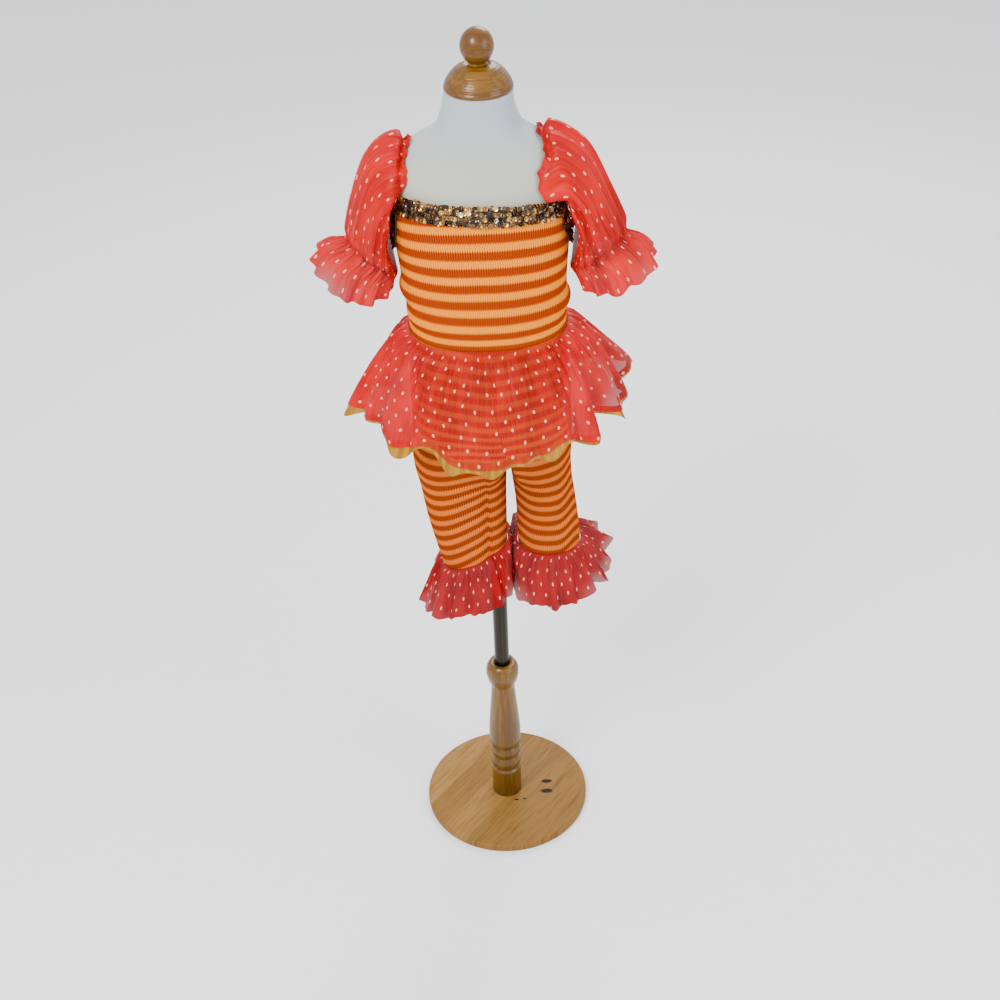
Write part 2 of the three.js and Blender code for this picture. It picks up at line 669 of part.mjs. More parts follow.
// The hem's gold band, on the skirt's inner side and past its edge
function hemBand() {
  const rows = skirtRows([BAND_FROM, BAND_TO]);
  const directions = outwards(rows, true);
  const inset = SHEER + 4 * SEAM;
  rows.forEach((row, j) => row.forEach((p, i) => p.addScaledVector(directions[j][i], -inset)));
  return clothWall(rows, SHEER);
}

function standBase() {
  const edge = 3;
  return turned(
    [
      [0, 0],
      [BASE_RADIUS - edge, 0],
      ...arc(BASE_RADIUS - edge, edge, edge, edge, -90, 0, 2),
      ...arc(BASE_RADIUS - edge, BASE_HIGH - edge, edge, edge, 0, 90, 3),
      [0, BASE_HIGH],
    ],
    36,
  );
}

// The turned column: a plain foot, two beads, a vase and a collar with a socket for the pole
function standColumn() {
  return turned(
    [
      [0, COLUMN_FOOT],
      [22.5, COLUMN_FOOT],
      [22.5, 64],
      [20, 67],
      ...arc(19, 79, 4.5, 10, -60, 60, 3),
      [20, 91],
      ...arc(19, 102, 4.5, 9, -60, 60, 3),
      [20.5, 113],
      [24, 119],
      [24.2, 140],
      [22, 175],
      [19, 210],
      [17.5, 236],
      [22, 246],
      ...arc(21, 262, 3.4, 12, -40, 70, 4),
      [19, COLUMN_TOP],
      [13.5, COLUMN_TOP],
      [SOCKET_RADIUS, COLUMN_TOP - 5],
      [SOCKET_RADIUS, SOCKET_FLOOR],
      [0, SOCKET_FLOOR],
    ],
    18,
  );
}

function standPole() {
  const foot = SOCKET_FLOOR + SEAM;
  return turned(
    [
      [0, foot],
      [POLE_RADIUS, foot],
      [POLE_RADIUS, POLE_TOP],
      [0, POLE_TOP],
    ],
    20,
  );
}

function neckCap() {
  return turned(
    [
      [0, CAP_FOOT],
      [37.5, CAP_FOOT],
      ...arc(37.5, CAP_FOOT + 3.5, 4, 3.5, -90, 40, 3),
      [39, 1183],
      [35, 1189.5],
      [29.5, 1195.5],
      [23.5, 1200],
      [17.5, 1202.5],
      [14.5, 1202],
      [13, CAP_TOP],
      [0, CAP_TOP],
    ],
    32,
  );
}

// The egg-shaped ball stands on a short neck above the cap
function finial() {
  const foot = CAP_TOP + SEAM;
  const middle = 1223.5;
  const egg = arc(0, middle, 20.2, FINIAL_TOP - middle, -60, 90, 8);
  return turned([[0, foot], [11.5, foot], [11.5, foot + 2], ...egg.slice(0, -1), [0, FINIAL_TOP]], 22);
}

const costume = new THREE.Group();

function add(name, geometry, material) {
  const mesh = new THREE.Mesh(geometry, material);
  mesh.name = name;
  costume.add(mesh);
}

add("stand_base", standBase(), basePlank);
add("stand_column", standColumn(), turnedWood);
add("stand_pole", standPole(), steel);
add("form_torso", torso(), jersey);
add("form_neck_cap", neckCap(), turnedWood);
add("form_finial", finial(), turnedWood);
add("bodice_front", bodicePanel(180, 360), knitCloth);
add("bodice_back", bodicePanel(0, 180), knitCloth);
add("sequin_braid", trimTape(), sequinTrim);
["right", "left"].forEach((side) => {
  add(`sleeve_${side}`, sleeve(side), sheerCloth);
  add(`legging_${side}`, legging(side), knitCloth);
  add(`leg_ruffle_${side}`, legRuffle(side), sheerCloth);
});
add("skirt", skirt(), sheerCloth);
add("skirt_hem_band", hemBand(), goldSatin);

export default costume;
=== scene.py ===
# Looks of a child's dance costume on a limbless dress form: a striped knit one-piece with
# sheer dotted sleeves, skirt and leg ruffles, a sequined neckline and a turned wooden stand.
# Tables are in millimetres, as the garment is measured, and meshes are made in metres.

import math
from types import SimpleNamespace

import bpy
import numpy as np
from mathutils import Matrix, Vector


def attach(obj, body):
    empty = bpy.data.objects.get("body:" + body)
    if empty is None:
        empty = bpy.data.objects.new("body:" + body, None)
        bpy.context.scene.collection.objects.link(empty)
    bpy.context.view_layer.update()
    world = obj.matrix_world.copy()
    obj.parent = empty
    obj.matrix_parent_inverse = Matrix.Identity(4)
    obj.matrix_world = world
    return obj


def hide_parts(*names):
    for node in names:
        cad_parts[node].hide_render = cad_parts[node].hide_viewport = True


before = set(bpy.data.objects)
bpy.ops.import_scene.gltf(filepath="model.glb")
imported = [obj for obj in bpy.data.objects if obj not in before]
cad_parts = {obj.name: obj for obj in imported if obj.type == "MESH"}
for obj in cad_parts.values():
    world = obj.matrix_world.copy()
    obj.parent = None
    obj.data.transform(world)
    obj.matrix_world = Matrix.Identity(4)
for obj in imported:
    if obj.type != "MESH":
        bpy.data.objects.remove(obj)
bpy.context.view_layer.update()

MM = 0.001
TAU = 2 * math.pi

# Cloth thicknesses and clearances
KNIT = 1.6
SHEER = 1.0
TRIM_THICK = 1.8
EASE = 1.1
SNUG = 0.7
SEAM = 0.3
KNIT_OUT = EASE + KNIT
TRIM_OUT = KNIT_OUT + SEAM + TRIM_THICK
LAYER_OUT = TRIM_OUT + SEAM + SHEER
SHOULDER_OUT = 2.8

# Heights
WAIST = 862
NECKLINE = 1053
SLANT = 0.06
UNDERARM = 992
DIP = 0.6
TRIM_WIDE = 20
SEQUIN_STEP = 4.4
CROTCH = 640
POLE_TOP = 684.6


class Rows:
    """A table of rows with named columns, and smooth curves through them."""

    def __init__(self, names, *rows):
        self.columns = dict(zip(names.split(), np.array(rows, float).T))

    def at(self, key, place):
        """Every column where the key column has these values."""
        keys = self.columns[key]
        found = {name: through(keys, values, place) for name, values in self.columns.items()}
        return SimpleNamespace(**found)

    def each(self):
        return zip(*self.columns.values())

    def around(self, name, degrees):
        """A column's bumps round a ring, each at its own angle and with its own spread."""
        bumps = zip(*(self.columns[key] for key in (name, "at", "spread")))
        return sum(size * bell(turn_between(degrees, at), spread) for size, at, spread in bumps)


def through(keys, values, place):
    """A smooth curve through the values, which never swings past them."""
    order = np.argsort(keys)
    keys, values = keys[order], values[order]
    place = np.clip(np.asarray(place, float), keys[0], keys[-1])
    step = np.diff(keys)
    slope = np.diff(values) / step
    bend = np.zeros_like(values)
    product = slope[:-1] * slope[1:]
    total = slope[:-1] + slope[1:]
    same = product > 0
    bend[1:-1][same] = 2 * product[same] / total[same]
    bend[0], bend[-1] = slope[0], slope[-1]
    i = np.clip(np.searchsorted(keys, place, side="right") - 1, 0, len(step) - 1)
    t = (place - keys[i]) / step[i]
    start = (1 + 2 * t) * (1 - t) ** 2 * values[i] + t * (1 - t) ** 2 * step[i] * bend[i]
    end = t * t * (3 - 2 * t) * values[i + 1] - t * t * (1 - t) * step[i] * bend[i + 1]
    return start + end


# The form's cross-sections: squarish ovals that lean a little to the wearer's right
SQUARE = 2.25
FORM = Rows(
    "z middle half_width half_depth",
    (685, 0, 84, 58),
    (690, 0, 94, 67),
    (706, 0, 100, 73),
    (760, 0, 103, 78),
    (815, 0, 100, 78),
    (870, 0, 98, 75),
    (930, -2, 101, 74),
    (990, -3, 106, 75),
    (1035, -4, 109, 73),
    (1060, -4, 109.5, 69),
    (1078, -4, 107.5, 63),
    (1094, -3, 101, 57),
    (1105, -2, 90, 53),
    (1113, -2, 77, 50),
    (1120, -1, 64, 47.5),
    (1130, -1, 52, 45.5),
    (1142, -1, 47, 43),
    (1158, -1, 42.5, 41),
    (1172, 0, 41, 40),
)
FORM_FOOT = 685
FORM_TOP = 1172
CAP_FOOT = FORM_TOP + SEAM
CAP_TOP = 1201
FINIAL_TOP = 1245.5

# The stripes of the bodice: the lowest pair is narrower, where the waist's seam draws it in
FIRST_PAIR = 22.7
SEAM_PULL = 1.32
STRIPE_SHIFT = 1.3

# Rolls of the knit at the waist
ROLLS = Rows(
    "z at out high spread",
    (921, 182, 5, 10, 38),
    (898, 2, 5.5, 10, 34),
    (888, 205, 2, 8, 40),
)

# Soft troughs of the knit between and beside the rolls, each with its slope in mm a degree
BODICE_CREASES = Rows(
    "z at deep high spread slope",
    (907, 178, 0.99, 3.2, 30, 0.10),
    (934, 190, 0.675, 3.0, 26, -0.12),
    (911, 352, 0.9, 3.0, 34, -0.30),
    (886, 344, 0.99, 3.0, 30, -0.34),
    (873, 330, 0.54, 3.0, 34, -0.16),
    (880, 214, 0.54, 3.5, 30, 0.10),
    (1000, 316, 0.36, 6.0, 24, 0.30),
    (1006, 222, 0.36, 6.0, 22, -0.30),
    (905, 60, 0.72, 3.5, 36, 0.16),
    (890, 122, 0.72, 3.5, 34, -0.12),
    (930, 95, 0.54, 5.0, 40, 0.10),
)
ROLL_FADE = 14
CREASE_LIMIT = 0.8

# Each half of the leggings from the waist down
LEG_NAMES = "z inner outer half_depth drop"
LEGS = {
    "right": Rows(
        LEG_NAMES,
        (861.7, 0, 100, 77, 0),
        (815, -2, 103, 80, 0),
        (765, -6, 106, 80, 0),
        (720, -12, 106, 77, 0),
        (704, -15, 107, 73, 0),
        (684, -18, 108, 68, 2),
        (677, -18.6, 108.5, 66, 3),
        (669, -19.2, 109, 62, 5),
        (654, -19.6, 108, 58, 8),
        (622, -17, 102, 52, 16),
        (575, -15.5, 95, 46, 26),
        (532, -15, 86, 42, 33),
        (493, -14.5, 77, 39, 38),
    ),
    "left": Rows(
        LEG_NAMES,
        (861.7, 0, 100, 77, 0),
        (815, 2, 103, 80, 0),
        (765, 6, 106, 80, 0),
        (720, 12, 106, 77, 0),
        (704, 15, 106, 73, 0),
        (684, 19, 106, 68, 0),
        (677, 19.4, 106, 66, 0),
        (669, 19.8, 106, 62, 0),
        (654, 20.6, 105, 57, 0),
        (622, 24, 106, 50, 0),
        (580, 28, 111, 44, 0),
        (540, 29.5, 115, 41, 0),
        (507, 29.5, 117, 39, 0),
    ),
}
LEG_TOP = 861.7
LEG_WIDE = 60
HEM = {side: rows.columns["z"][-1] for side, rows in LEGS.items()}
SEAM_SHARE = 0.14
INSEAM = 0.0015
SEAM_TOP = 684
ROUND_FROM = 700
ROUND_TO = 610
BACK_RISE = 14
SAG_FULL = 690
SAG_NONE = 745
SEAM_FLAT = 20
CREASE = {"x": -9, "half": 9, "deep": 5, "start": 640, "full": 600}

# Soft creases of each leg, as lines across it: height at the middle, rise to the wearer's
# left over the leg's width, where along the width it lies, and its size
LEG_CREASES = {
    "right": Rows(
        "z rise centre spread deep high front",
        (604, 26, -40, 30, 1.2, 6, 1),
        (574, 30, -38, 28, 1.36, 6, 1),
        (545, 22, -52, 24, 1.04, 5, 1),
        (518, 30, -36, 30, 1.28, 5, 1),
        (640, 16, -60, 34, 1.04, 7, 1),
        (600, -18, -50, 34, 1.28, 6, -1),
        (560, 20, -46, 34, 1.44, 6, -1),
        (525, -16, -44, 30, 1.12, 5, -1),
    ),
    "left": Rows(
        "z rise centre spread deep high front",
        (596, 44, 100, 15, 2.08, 7, 1),
        (566, 34, 96, 17, 1.6, 6, 1),
        (620, -16, 62, 28, 1.04, 7, 1),
        (548, -10, 66, 30, 1.04, 6, 1),
        (640, 20, 84, 26, 0.96, 7, 1),
        (606, 20, 74, 34, 1.36, 6, -1),
        (570, -20, 78, 34, 1.36, 6, -1),
        (538, 14, 72, 30, 1.12, 5, -1),
    ),
}

# Each sleeve from the neck edge's drawn-in line out to its hem
SLEEVE_NAMES = "outer_x outer_z inner_x inner_z depth dip gather wave"
SLEEVES = {
    "right": {
        "strap_x": 89,
        "strap_depth": 46,
        "armhole_depth": 36,
        "rows": Rows(
            SLEEVE_NAMES,
            (98, 1119, 119, 990, 58, 0, 2.2, 0),
            (118, 1114, 120, 978, 58, 0, 2.6, 0),
            (139, 1094, 116.5, 965, 57, 0, 2.4, 0),
            (157, 1049, 113, 951, 51, 0, 2.6, 0),
            (169, 1003, 111, 942, 40, 0, 2.6, 0),
            (171, 985, 110.5, 936, 27, 2, 1.8, 0),
            (196, 977, 117.5, 928, 37, 8, 0, 4.5),
            (214, 959, 122, 919, 50, 16, 0, 8),
        ),
    },
    "left": {
        "strap_x": 72,
        "strap_depth": 59,
        "armhole_depth": 38,
        "rows": Rows(
            SLEEVE_NAMES,
            (83, 1127, 117, 990, 60, 0, 2.2, 0),
            (109, 1115, 115, 978, 60, 0, 2.6, 0),
            (132, 1092, 112, 965, 59, 0, 2.4, 0),
            (154, 1045, 109, 951, 53, 0, 2.6, 0),
            (172, 1002, 107, 941, 41, 0, 2.6, 0),
            (176, 981, 106, 935, 27, 2, 1.8, 0),
            (200, 968, 112, 926, 37, 7, 0, 4.5),
            (213, 950, 117, 920, 50, 14, 0, 8),
        ),
    },
}
STRAP_LIFT = 2
SEAM_EDGE = 2.2
FRILL = 9
GATHERS = 16
CUFF_WAVES = 12

# The skirt from the waist seam to its hem
SKIRT_ROWS = Rows(
    "share z half_width half_depth gather wave",
    (0, 861.7, 102.3, 79.4, 0, 0),
    (0.1, 850, 114, 91, 2.4, 0.5),
    (0.32, 823, 133, 107, 1.6, 2),
    (0.56, 794, 150, 122, 0.6, 3.5),
    (0.8, 765, 163, 135, 0, 5),
    (1, 742, 170, 143, 0, 6),
    (1.2, 719, 177, 151, 0, 7),
)
SKIRT_WAVES = 18
SKIRT_GATHERS = 30
SKIRT_FOLDS = Rows(
    "at out up spread",
    (24, 32, 19, 13),
    (-9, 8, 0, 9),
    (-28, -26, 8, 8),
    (-43, 7, -9, 7),
    (-55, -4, 10, 7),
    (-71, 8, 0, 7),
    (-91, 10, -14, 8),
    (-107, 6, -8, 7),
    (-122, -5, 12, 7),
    (-134, 8, -2, 6),
    (-150, -2, 12, 9),
    (-165, -3, 8, 7),
    (181, 13, 4, 9),
    (155, -9, 2, 9),
    (128, 14, -6, 12),
    (103, -7, 5, 9),
    (80, 10, -5, 10),
    (58, -9, 3, 9),
)
SKIRT_COLUMNS = 720
BAND_FROM = 0.93
BAND_TO = 1.033
BAND_BEHIND = 1.6
BAND_THICK = 0.5
BAND_PATCHES = Rows(
    "at extra spread",
    (182, 0.12, 4),
    (-133, 0.10, 5),
    (-110, 0.09, 5),
    (-91, 0.05, 3),
    (-63, 0.09, 5),
    (-12, 0.12, 5),
    (27, 0.12, 5),
    (150, 0.05, 6),
    (110, 0.07, 8),
    (70, 0.06, 7),
)

# The ruffles at the legs, with each one's lobes: 0 degrees points outwards and 90 back
RUFFLE_WAVES = 16
RUFFLE_DROP = 68
RUFFLE_FLARE = 36
RUFFLE_WAVE = 7.5
RUFFLE_LOBES = {
    "right": Rows(
        "at out up spread",
        (78, 18, 48, 26),
        (28, -14, 4, 20),
        (-90, -4, 6, 40),
        (142, 10, 54, 26),
    ),
    "left": Rows(
        "at out up spread",
        (38, 18, 30, 32),
        (-35, 0, 12, 22),
        (125, 14, 60, 30),
    ),
}
MID_GAP = 21.2
MID_SLANT = 0.06
MID_WAVE = 2.5
MID_CLEAR = 0.6

# How wide the cloth is on which the dots are laid out, once round
SLEEVE_CLOTH = 540
SKIRT_CLOTH = 1340
RUFFLE_CLOTH = 940

# The stand
POLE_RADIUS = 11
BASE_RADIUS = 125
SHARP_TURN = math.radians(40)
BASE_HIGH = 13
COLUMN_FOOT = BASE_HIGH + SEAM
SOCKET_FLOOR = 200
SOCKET_RADIUS = POLE_RADIUS + 0.3
COLUMN_TOP = 279

# The photograph's camera
LENS = 57.85
CAMERA_PLACE = Vector((0, -1.8031, 1.8857))
CAMERA_DOWN = math.radians(35.98)
CAMERA_TURN = math.radians(0.20)
CAMERA_ROLL = math.radians(-2.249)
FLOOR = 9


def smoothstep(x, low, high):
    t = np.clip((x - low) / (high - low), 0, 1)
    return t * t * (3 - 2 * t)


def lerp(a, b, t):
    return a + (b - a) * t


def bell(distance, half):
    return np.exp(-((distance / half) ** 2))


def turn_between(a, b):
    """The shortest way round from b to a, in degrees."""
    return (a - b + 180) % 360 - 180


def points_of(x, y, z):
    return np.stack(np.broadcast_arrays(x, y, z), axis=-1).astype(float)


def unit(vectors):
    return vectors / np.maximum(np.linalg.norm(vectors, axis=-1, keepdims=True), 1e-9)


def turns(steps):
    """Angles once round, evenly spaced."""
    return TAU * np.arange(steps) / steps


# Meshes


def in_scene(name, data):
    made = bpy.data.objects.new(name, data)
    bpy.context.scene.collection.objects.link(made)
    return made


def smooth(mesh):
    mesh.polygons.foreach_set("use_smooth", np.ones(len(mesh.polygons), bool))


def mesh_object(name, points, faces, material, corner_uv=None, point_values=None):
    """A smooth mesh from points in millimetres."""
    mesh = bpy.data.meshes.new(name)
    mesh.from_pydata((points.reshape(-1, 3) * MM).tolist(), [], faces)
    mesh.materials.append(material)
    smooth(mesh)
    if corner_uv is not None:
        layer = mesh.uv_layers.new(name="cloth")
        layer.data.foreach_set("uv", (corner_uv.reshape(-1, 2) * MM).ravel())
    for key, values in (point_values or {}).items():
        mesh.attributes.new(key, "FLOAT", "POINT").data.foreach_set("value", values.ravel())
    mesh.update()
    return in_scene(name, mesh)


def quads_of(rows, columns, ring):
    """The corners of a grid's faces as row and column numbers, seen from outside."""
    across = columns if ring else columns - 1
    j, i = (k.ravel() for k in np.meshgrid(np.arange(rows - 1), np.arange(across), indexing="ij"))
    return np.stack([j, j + 1, j + 1, j], 1), np.stack([i, i, i + 1, i + 1], 1)


def outwards(points, ring):
    """The outward direction at each point of a grid whose rows run down."""
    if ring:
        along = np.roll(points, -1, 1) - np.roll(points, 1, 1)
    else:
        along = np.gradient(points, axis=1)
    return unit(np.cross(np.gradient(points, axis=0), along))


def cloth(name, points, uv, material, ring=True, thickness=0, **values):
    """Cloth over a grid of points. uv has one column more than a ring's points."""
    rows, columns = points.shape[:2]
    j, i = quads_of(rows, columns, ring)
    faces = j * columns + i % columns
    corner_uv = uv[j, i]
    values = {key: np.broadcast_to(value, (rows, columns)) for key, value in values.items()}
    if not thickness:
        return mesh_object(name, points, faces.tolist(), material, corner_uv, values)
    inner = points - thickness * outwards(points, ring)
    behind = rows * columns
    parts = [faces, (faces + behind)[:, ::-1]]
    corners = [corner_uv, corner_uv[:, ::-1]]
    k, r = np.arange(columns if ring else columns - 1), np.arange(rows - 1)
    foot, end = 0 * k + rows - 1, 0 * r + columns - 1
    rims = [(0 * k, k, 0 * k, k + 1), (foot, k + 1, foot, k)]
    if not ring:
        rims += [(r + 1, 0 * r, r, 0 * r), (r, end, r + 1, end)]
    for from_row, from_column, to_row, to_column in rims:
        start = from_row * columns + from_column % columns
        stop = to_row * columns + to_column % columns
        parts.append(np.stack([start, stop, stop + behind, start + behind], 1))
        first, second = uv[from_row, from_column], uv[to_row, to_column]
        corners.append(np.stack([first, second, second, first], 1))
    both = np.concatenate([points.reshape(-1, 3), inner.reshape(-1, 3)])
    doubled = {key: np.concatenate([v.ravel(), v.ravel()]) for key, v in values.items()}
    faces = np.concatenate(parts).tolist()
    return mesh_object(name, both, faces, material, np.concatenate(corners), doubled)


def lathe(name, outline, material, steps=128):
    """A turned solid from its outline of radius and height, which starts and ends on the axis."""
    outline = np.array(outline, float)
    rings = outline[1:-1]
    angle = turns(steps)
    points = points_of(
        rings[:, :1] * np.cos(angle), rings[:, :1] * np.sin(angle), rings[:, 1:] + 0 * angle
    ).reshape(-1, 3)
    j, i = quads_of(len(rings), steps, True)
    faces = (j * steps + i % steps)[:, ::-1].tolist()
    k = np.arange(steps)
    after = (k + 1) % steps
    top = (len(rings) - 1) * steps
    pole = np.full(steps, len(points))
    faces += np.stack([after, k, pole], 1).tolist()
    faces += np.stack([k + top, after + top, pole + 1], 1).tolist()
    ends = [(0, 0, outline[0, 1]), (0, 0, outline[-1, 1])]
    made = mesh_object(name, np.concatenate([points, ends]), faces, material)
    made.data.set_sharp_from_angle(angle=SHARP_TURN)
    return made


def arc(centre_radius, centre_z, radius, high, start, end, steps):
    angles = np.radians(np.linspace(start, end, steps + 1))
    return [(centre_radius + radius * math.cos(a), centre_z + high * math.sin(a)) for a in angles]


def curve_between(rows, steps):
    """An outline's smooth stretch through rows of height and radius."""
    table = Rows("z radius", *rows)
    heights = np.linspace(rows[0][0], rows[-1][0], steps + 1)
    return [(radius, z) for radius, z in zip(table.at("z", heights).radius, heights)]


def lengths(points):
    """How far along each column and how far down each row of a grid lies, on average."""
    along = np.linalg.norm(np.diff(points, axis=1), axis=2).mean(0)
    down = np.linalg.norm(np.diff(points, axis=0), axis=2).mean(1)
    return np.concatenate([[0], np.cumsum(along)]), np.concatenate([[0], np.cumsum(down)])


def cloth_uv(points, ring, flat_width=None):
    """Flat-cloth coordinates of a grid, in millimetres."""
    closed = np.concatenate([points, points[:, :1]], 1) if ring else points
    along, down = lengths(closed)
    if flat_width:
        along = along * (flat_width / along[-1])
    return np.stack(np.broadcast_arrays(along[None, :], down[:, None]), -1).astype(float)


def gathers(turn, count, seed):
    """Uneven gathers round a ring, from -1 in a trough to 1 on a crest."""
    rng = np.random.default_rng(seed)
    a, b, c, d = rng.uniform(0, TAU, 4)
    warp = turn + (1.1 * np.sin(3 * turn + a) + 0.8 * np.sin(7 * turn + b)) / count
    size = 0.72 + 0.28 * np.sin(5 * turn + c)
    return size * np.cos(count * warp + d)


def ripples(turn, seed, *kinds):
    """Several kinds of gathers together, each a count and a height."""
    return sum(high * gathers(turn, count, seed + n) for n, (count, high) in enumerate(kinds))


def spline(rows, place):
    """Points on smooth curves through rows of points."""
    rows = np.asarray(rows)
    last = len(rows) - 1
    i = np.clip(np.floor(place).astype(int), 0, last - 1)
    t = (place - i)[:, None, None]
    before, start = rows[np.maximum(i - 1, 0)], rows[i]
    end, after = rows[i + 1], rows[np.minimum(i + 2, last)]
    return (
        start
        + 0.5 * t * (end - before)
        + t * t * (before - 2.5 * start + 2 * end - 0.5 * after)
        + t**3 * (1.5 * (start - end) + 0.5 * (after - before))
    )


# The form and what the cloth's points are worked out from


def oval(half_width, half_depth, angle):
    power = 2 / SQUARE
    c, s = np.cos(angle), np.sin(angle)
    x = half_width * np.sign(c) * np.abs(c) ** power
    return x, half_depth * np.sign(s) * np.abs(s) ** power


def on_form(angle, z, out):
    row = FORM.at("z", z)
    x, y = oval(row.half_width + out, row.half_depth + out, angle)
    return points_of(row.middle + x, y, z)


def form_reach(sign, y, z, out):
    row = FORM.at("z", z)
    share = np.minimum(1, np.abs(y) / (row.half_depth + out))
    return sign * row.middle + (row.half_width + out) * (1 - share**SQUARE) ** (1 / SQUARE)


def shoulder_z(sign, reach, out):
    """How high the form's shoulder is that far out."""
    low, high = UNDERARM, FORM_TOP
    for _ in range(30):
        middle = (low + high) / 2
        if form_reach(sign, 0, middle, out) > reach:
            low = middle
        else:
            high = middle
    return low


def top_edge_at(x, y):
    right = x < 0
    depth = np.where(right, SLEEVES["right"]["armhole_depth"], SLEEVES["left"]["armhole_depth"])
    inside = np.maximum(0, 1 - (y / depth) ** 2)
    return lerp(NECKLINE - SLANT * x, UNDERARM, inside**DIP)


def top_edge(angle):
    point = on_form(angle, NECKLINE, 0)
    return top_edge_at(point[..., 0], point[..., 1])


def bodice_out(angle, z):
    """How far the bodice stands out from the form, with its rolls and creases."""
    degrees = np.degrees(angle)
    fade = smoothstep(z, WAIST, WAIST + ROLL_FADE)
    out = 0
    for height, at, size, high, spread in ROLLS.each():
        out = out + size * bell(z - height, high) * bell(turn_between(degrees, at), spread)
    for height, at, deep, high, spread, slope in BODICE_CREASES.each():
        away = turn_between(degrees, at)
        out = out - deep * bell(z - height - slope * away, high) * bell(away, spread)
    return KNIT_OUT + fade * np.maximum(out, -CREASE_LIMIT)


# The leggings


def leg_ring(row, share):
    angle = math.pi + TAU * share
    middle, half = (row.inner + row.outer) / 2, (row.outer - row.inner) / 2
    return points_of(middle + half * np.cos(angle), row.half_depth * np.sin(angle), row.z)


def hip_ring(row, share):
    seam_x = row.inner + SEAM
    form = FORM.at("z", np.maximum(row.z, FORM.columns["z"][1]))
    half_width = np.maximum(row.outer, form.half_width + KNIT_OUT)
    half_depth = np.maximum(row.half_depth, form.half_depth + KNIT_OUT)
    corner = np.arccos(np.sign(seam_x) * np.abs(seam_x / half_width) ** (SQUARE / 2))
    place = (share - SEAM_SHARE) / (1 - 2 * SEAM_SHARE)
    x, y = oval(half_width, half_depth, lerp(-corner, corner, np.clip(place, 0, 1)))
    y = np.where(place < 0, y * share / SEAM_SHARE, y)
    y = np.where(place > 1, y * (1 - share) / SEAM_SHARE, y)
    x = np.where((place < 0) | (place > 1), seam_x, x)
    return points_of(x, y, row.z)


def leg_points(side, z, share):
    """Points of a leg's outer face, mirrored for the right leg."""
    row = LEGS[side].at("z", z)
    rounding = 1 - smoothstep(row.z, ROUND_TO, ROUND_FROM)
    point = lerp(hip_ring(row, share), leg_ring(row, share), rounding[..., None])
    across = (point[..., 0] - row.inner) / (row.outer - row.inner)
    point[..., 2] += row.drop * (0.5 - across)
    low = np.clip((CROTCH - row.z) / (CROTCH - HEM[side]), 0, 1)
    point[..., 2] += BACK_RISE * low * np.maximum(0, point[..., 1]) / row.half_depth
    if side == "right":
        point[..., 0] *= -1
        fade = 1 - smoothstep(row.z, CREASE["full"], CREASE["start"])
        dip = CREASE["deep"] * fade * bell(point[..., 0] - CREASE["x"], CREASE["half"])
        y = point[..., 1]
        point[..., 1] = y - np.sign(y) * np.minimum(dip, np.abs(y) / 3)
    return point


def legging(side, material):
    columns, bands = 190, 160
    heights = np.linspace(LEG_TOP, HEM[side], bands)[:, None]
    parted = np.maximum(SEAM_SHARE * smoothstep(heights, CROTCH, SEAM_TOP), INSEAM)
    steps = np.linspace(0, 1, columns + 1)[None, :]
    share = parted + (1 - 2 * parted) * steps
    points = leg_points(side, heights, share)
    if side == "right":
        points = points[:, ::-1]
    uv = cloth_uv(points, False)
    normal = outwards(points, False)
    x, y, z = (points[..., k] for k in range(3))
    dip = 0
    for height, rise, centre, spread, deep, high, front in LEG_CREASES[side].each():
        line = height + rise * (x - centre) / LEG_WIDE
        facing = smoothstep(-front * y, 0, 25)
        dip = dip + facing * deep * bell(z - line, high) * bell(x - centre, spread)
    seam = smoothstep(z, WAIST - SEAM_FLAT, WAIST - 2 * SEAM_FLAT)
    points = points - (dip * seam)[..., None] * normal
    uv[..., 1] = LEG_TOP - heights + leg_sag(side, points)
    return cloth(f"{side}_legging", points, uv, material, ring=False, thickness=KNIT)


def leg_sag(side, points):
    """How much further up the cloth's courses lie than level lines, in mm."""
    x, y, z = (points[..., k] for k in range(3))
    front = smoothstep(-y, -10, 30)
    hip = smoothstep(z, CROTCH, ROUND_FROM)
    leg = 1 - smoothstep(z, SAG_FULL, SAG_NONE)
    centre = -7 * bell(x, 34) * front * hip
    if side == "right":
        rise = 17 * smoothstep(x, -90, -14) * leg
        fold = 6 * smoothstep(x, -13, -7) * (1 - hip)
        edge = 4 * (1 - smoothstep(x, -110, -92)) * leg
        return centre + (rise - fold + edge) * front
    edge = 13 * smoothstep(x, 84, 114) * leg
    inner = 5 * (1 - smoothstep(x, 24, 52)) * leg
    return centre + (edge + inner) * front


# The sleeves


def strap_points(side, turn, ripple):
    size = SLEEVES[side]
    sign = -1 if side == "right" else 1
    up = np.cos(turn)
    foot_z = NECKLINE + STRAP_LIFT - sign * SLANT * size["strap_x"]
    foot_x = form_reach(sign, size["strap_depth"], foot_z, LAYER_OUT)
    top_z = shoulder_z(sign, size["strap_x"], SHOULDER_OUT)
    y_high = size["strap_depth"] * np.sin(turn)
    z_high = lerp(foot_z, top_z, np.maximum(up, 0) ** 1.2)
    out = lerp(LAYER_OUT, SHOULDER_OUT, smoothstep(up, 0, 0.4)) + ripple
    high = points_of(form_reach(sign, y_high, z_high, out), y_high, z_high + ripple)
    low_share = np.clip(-up, 0, 1)
    half = lerp(size["strap_depth"], size["armhole_depth"], smoothstep(-up, 0, 0.35))
    y_low = np.sign(y_high) * half * np.sqrt(1 - low_share ** (1 / DIP))
    z_low = top_edge_at(sign * foot_x, y_low) + STRAP_LIFT
    low = points_of(form_reach(sign, y_low, z_low, LAYER_OUT + ripple), y_low, z_low)
    return np.where((up > 0)[:, None], high, low)


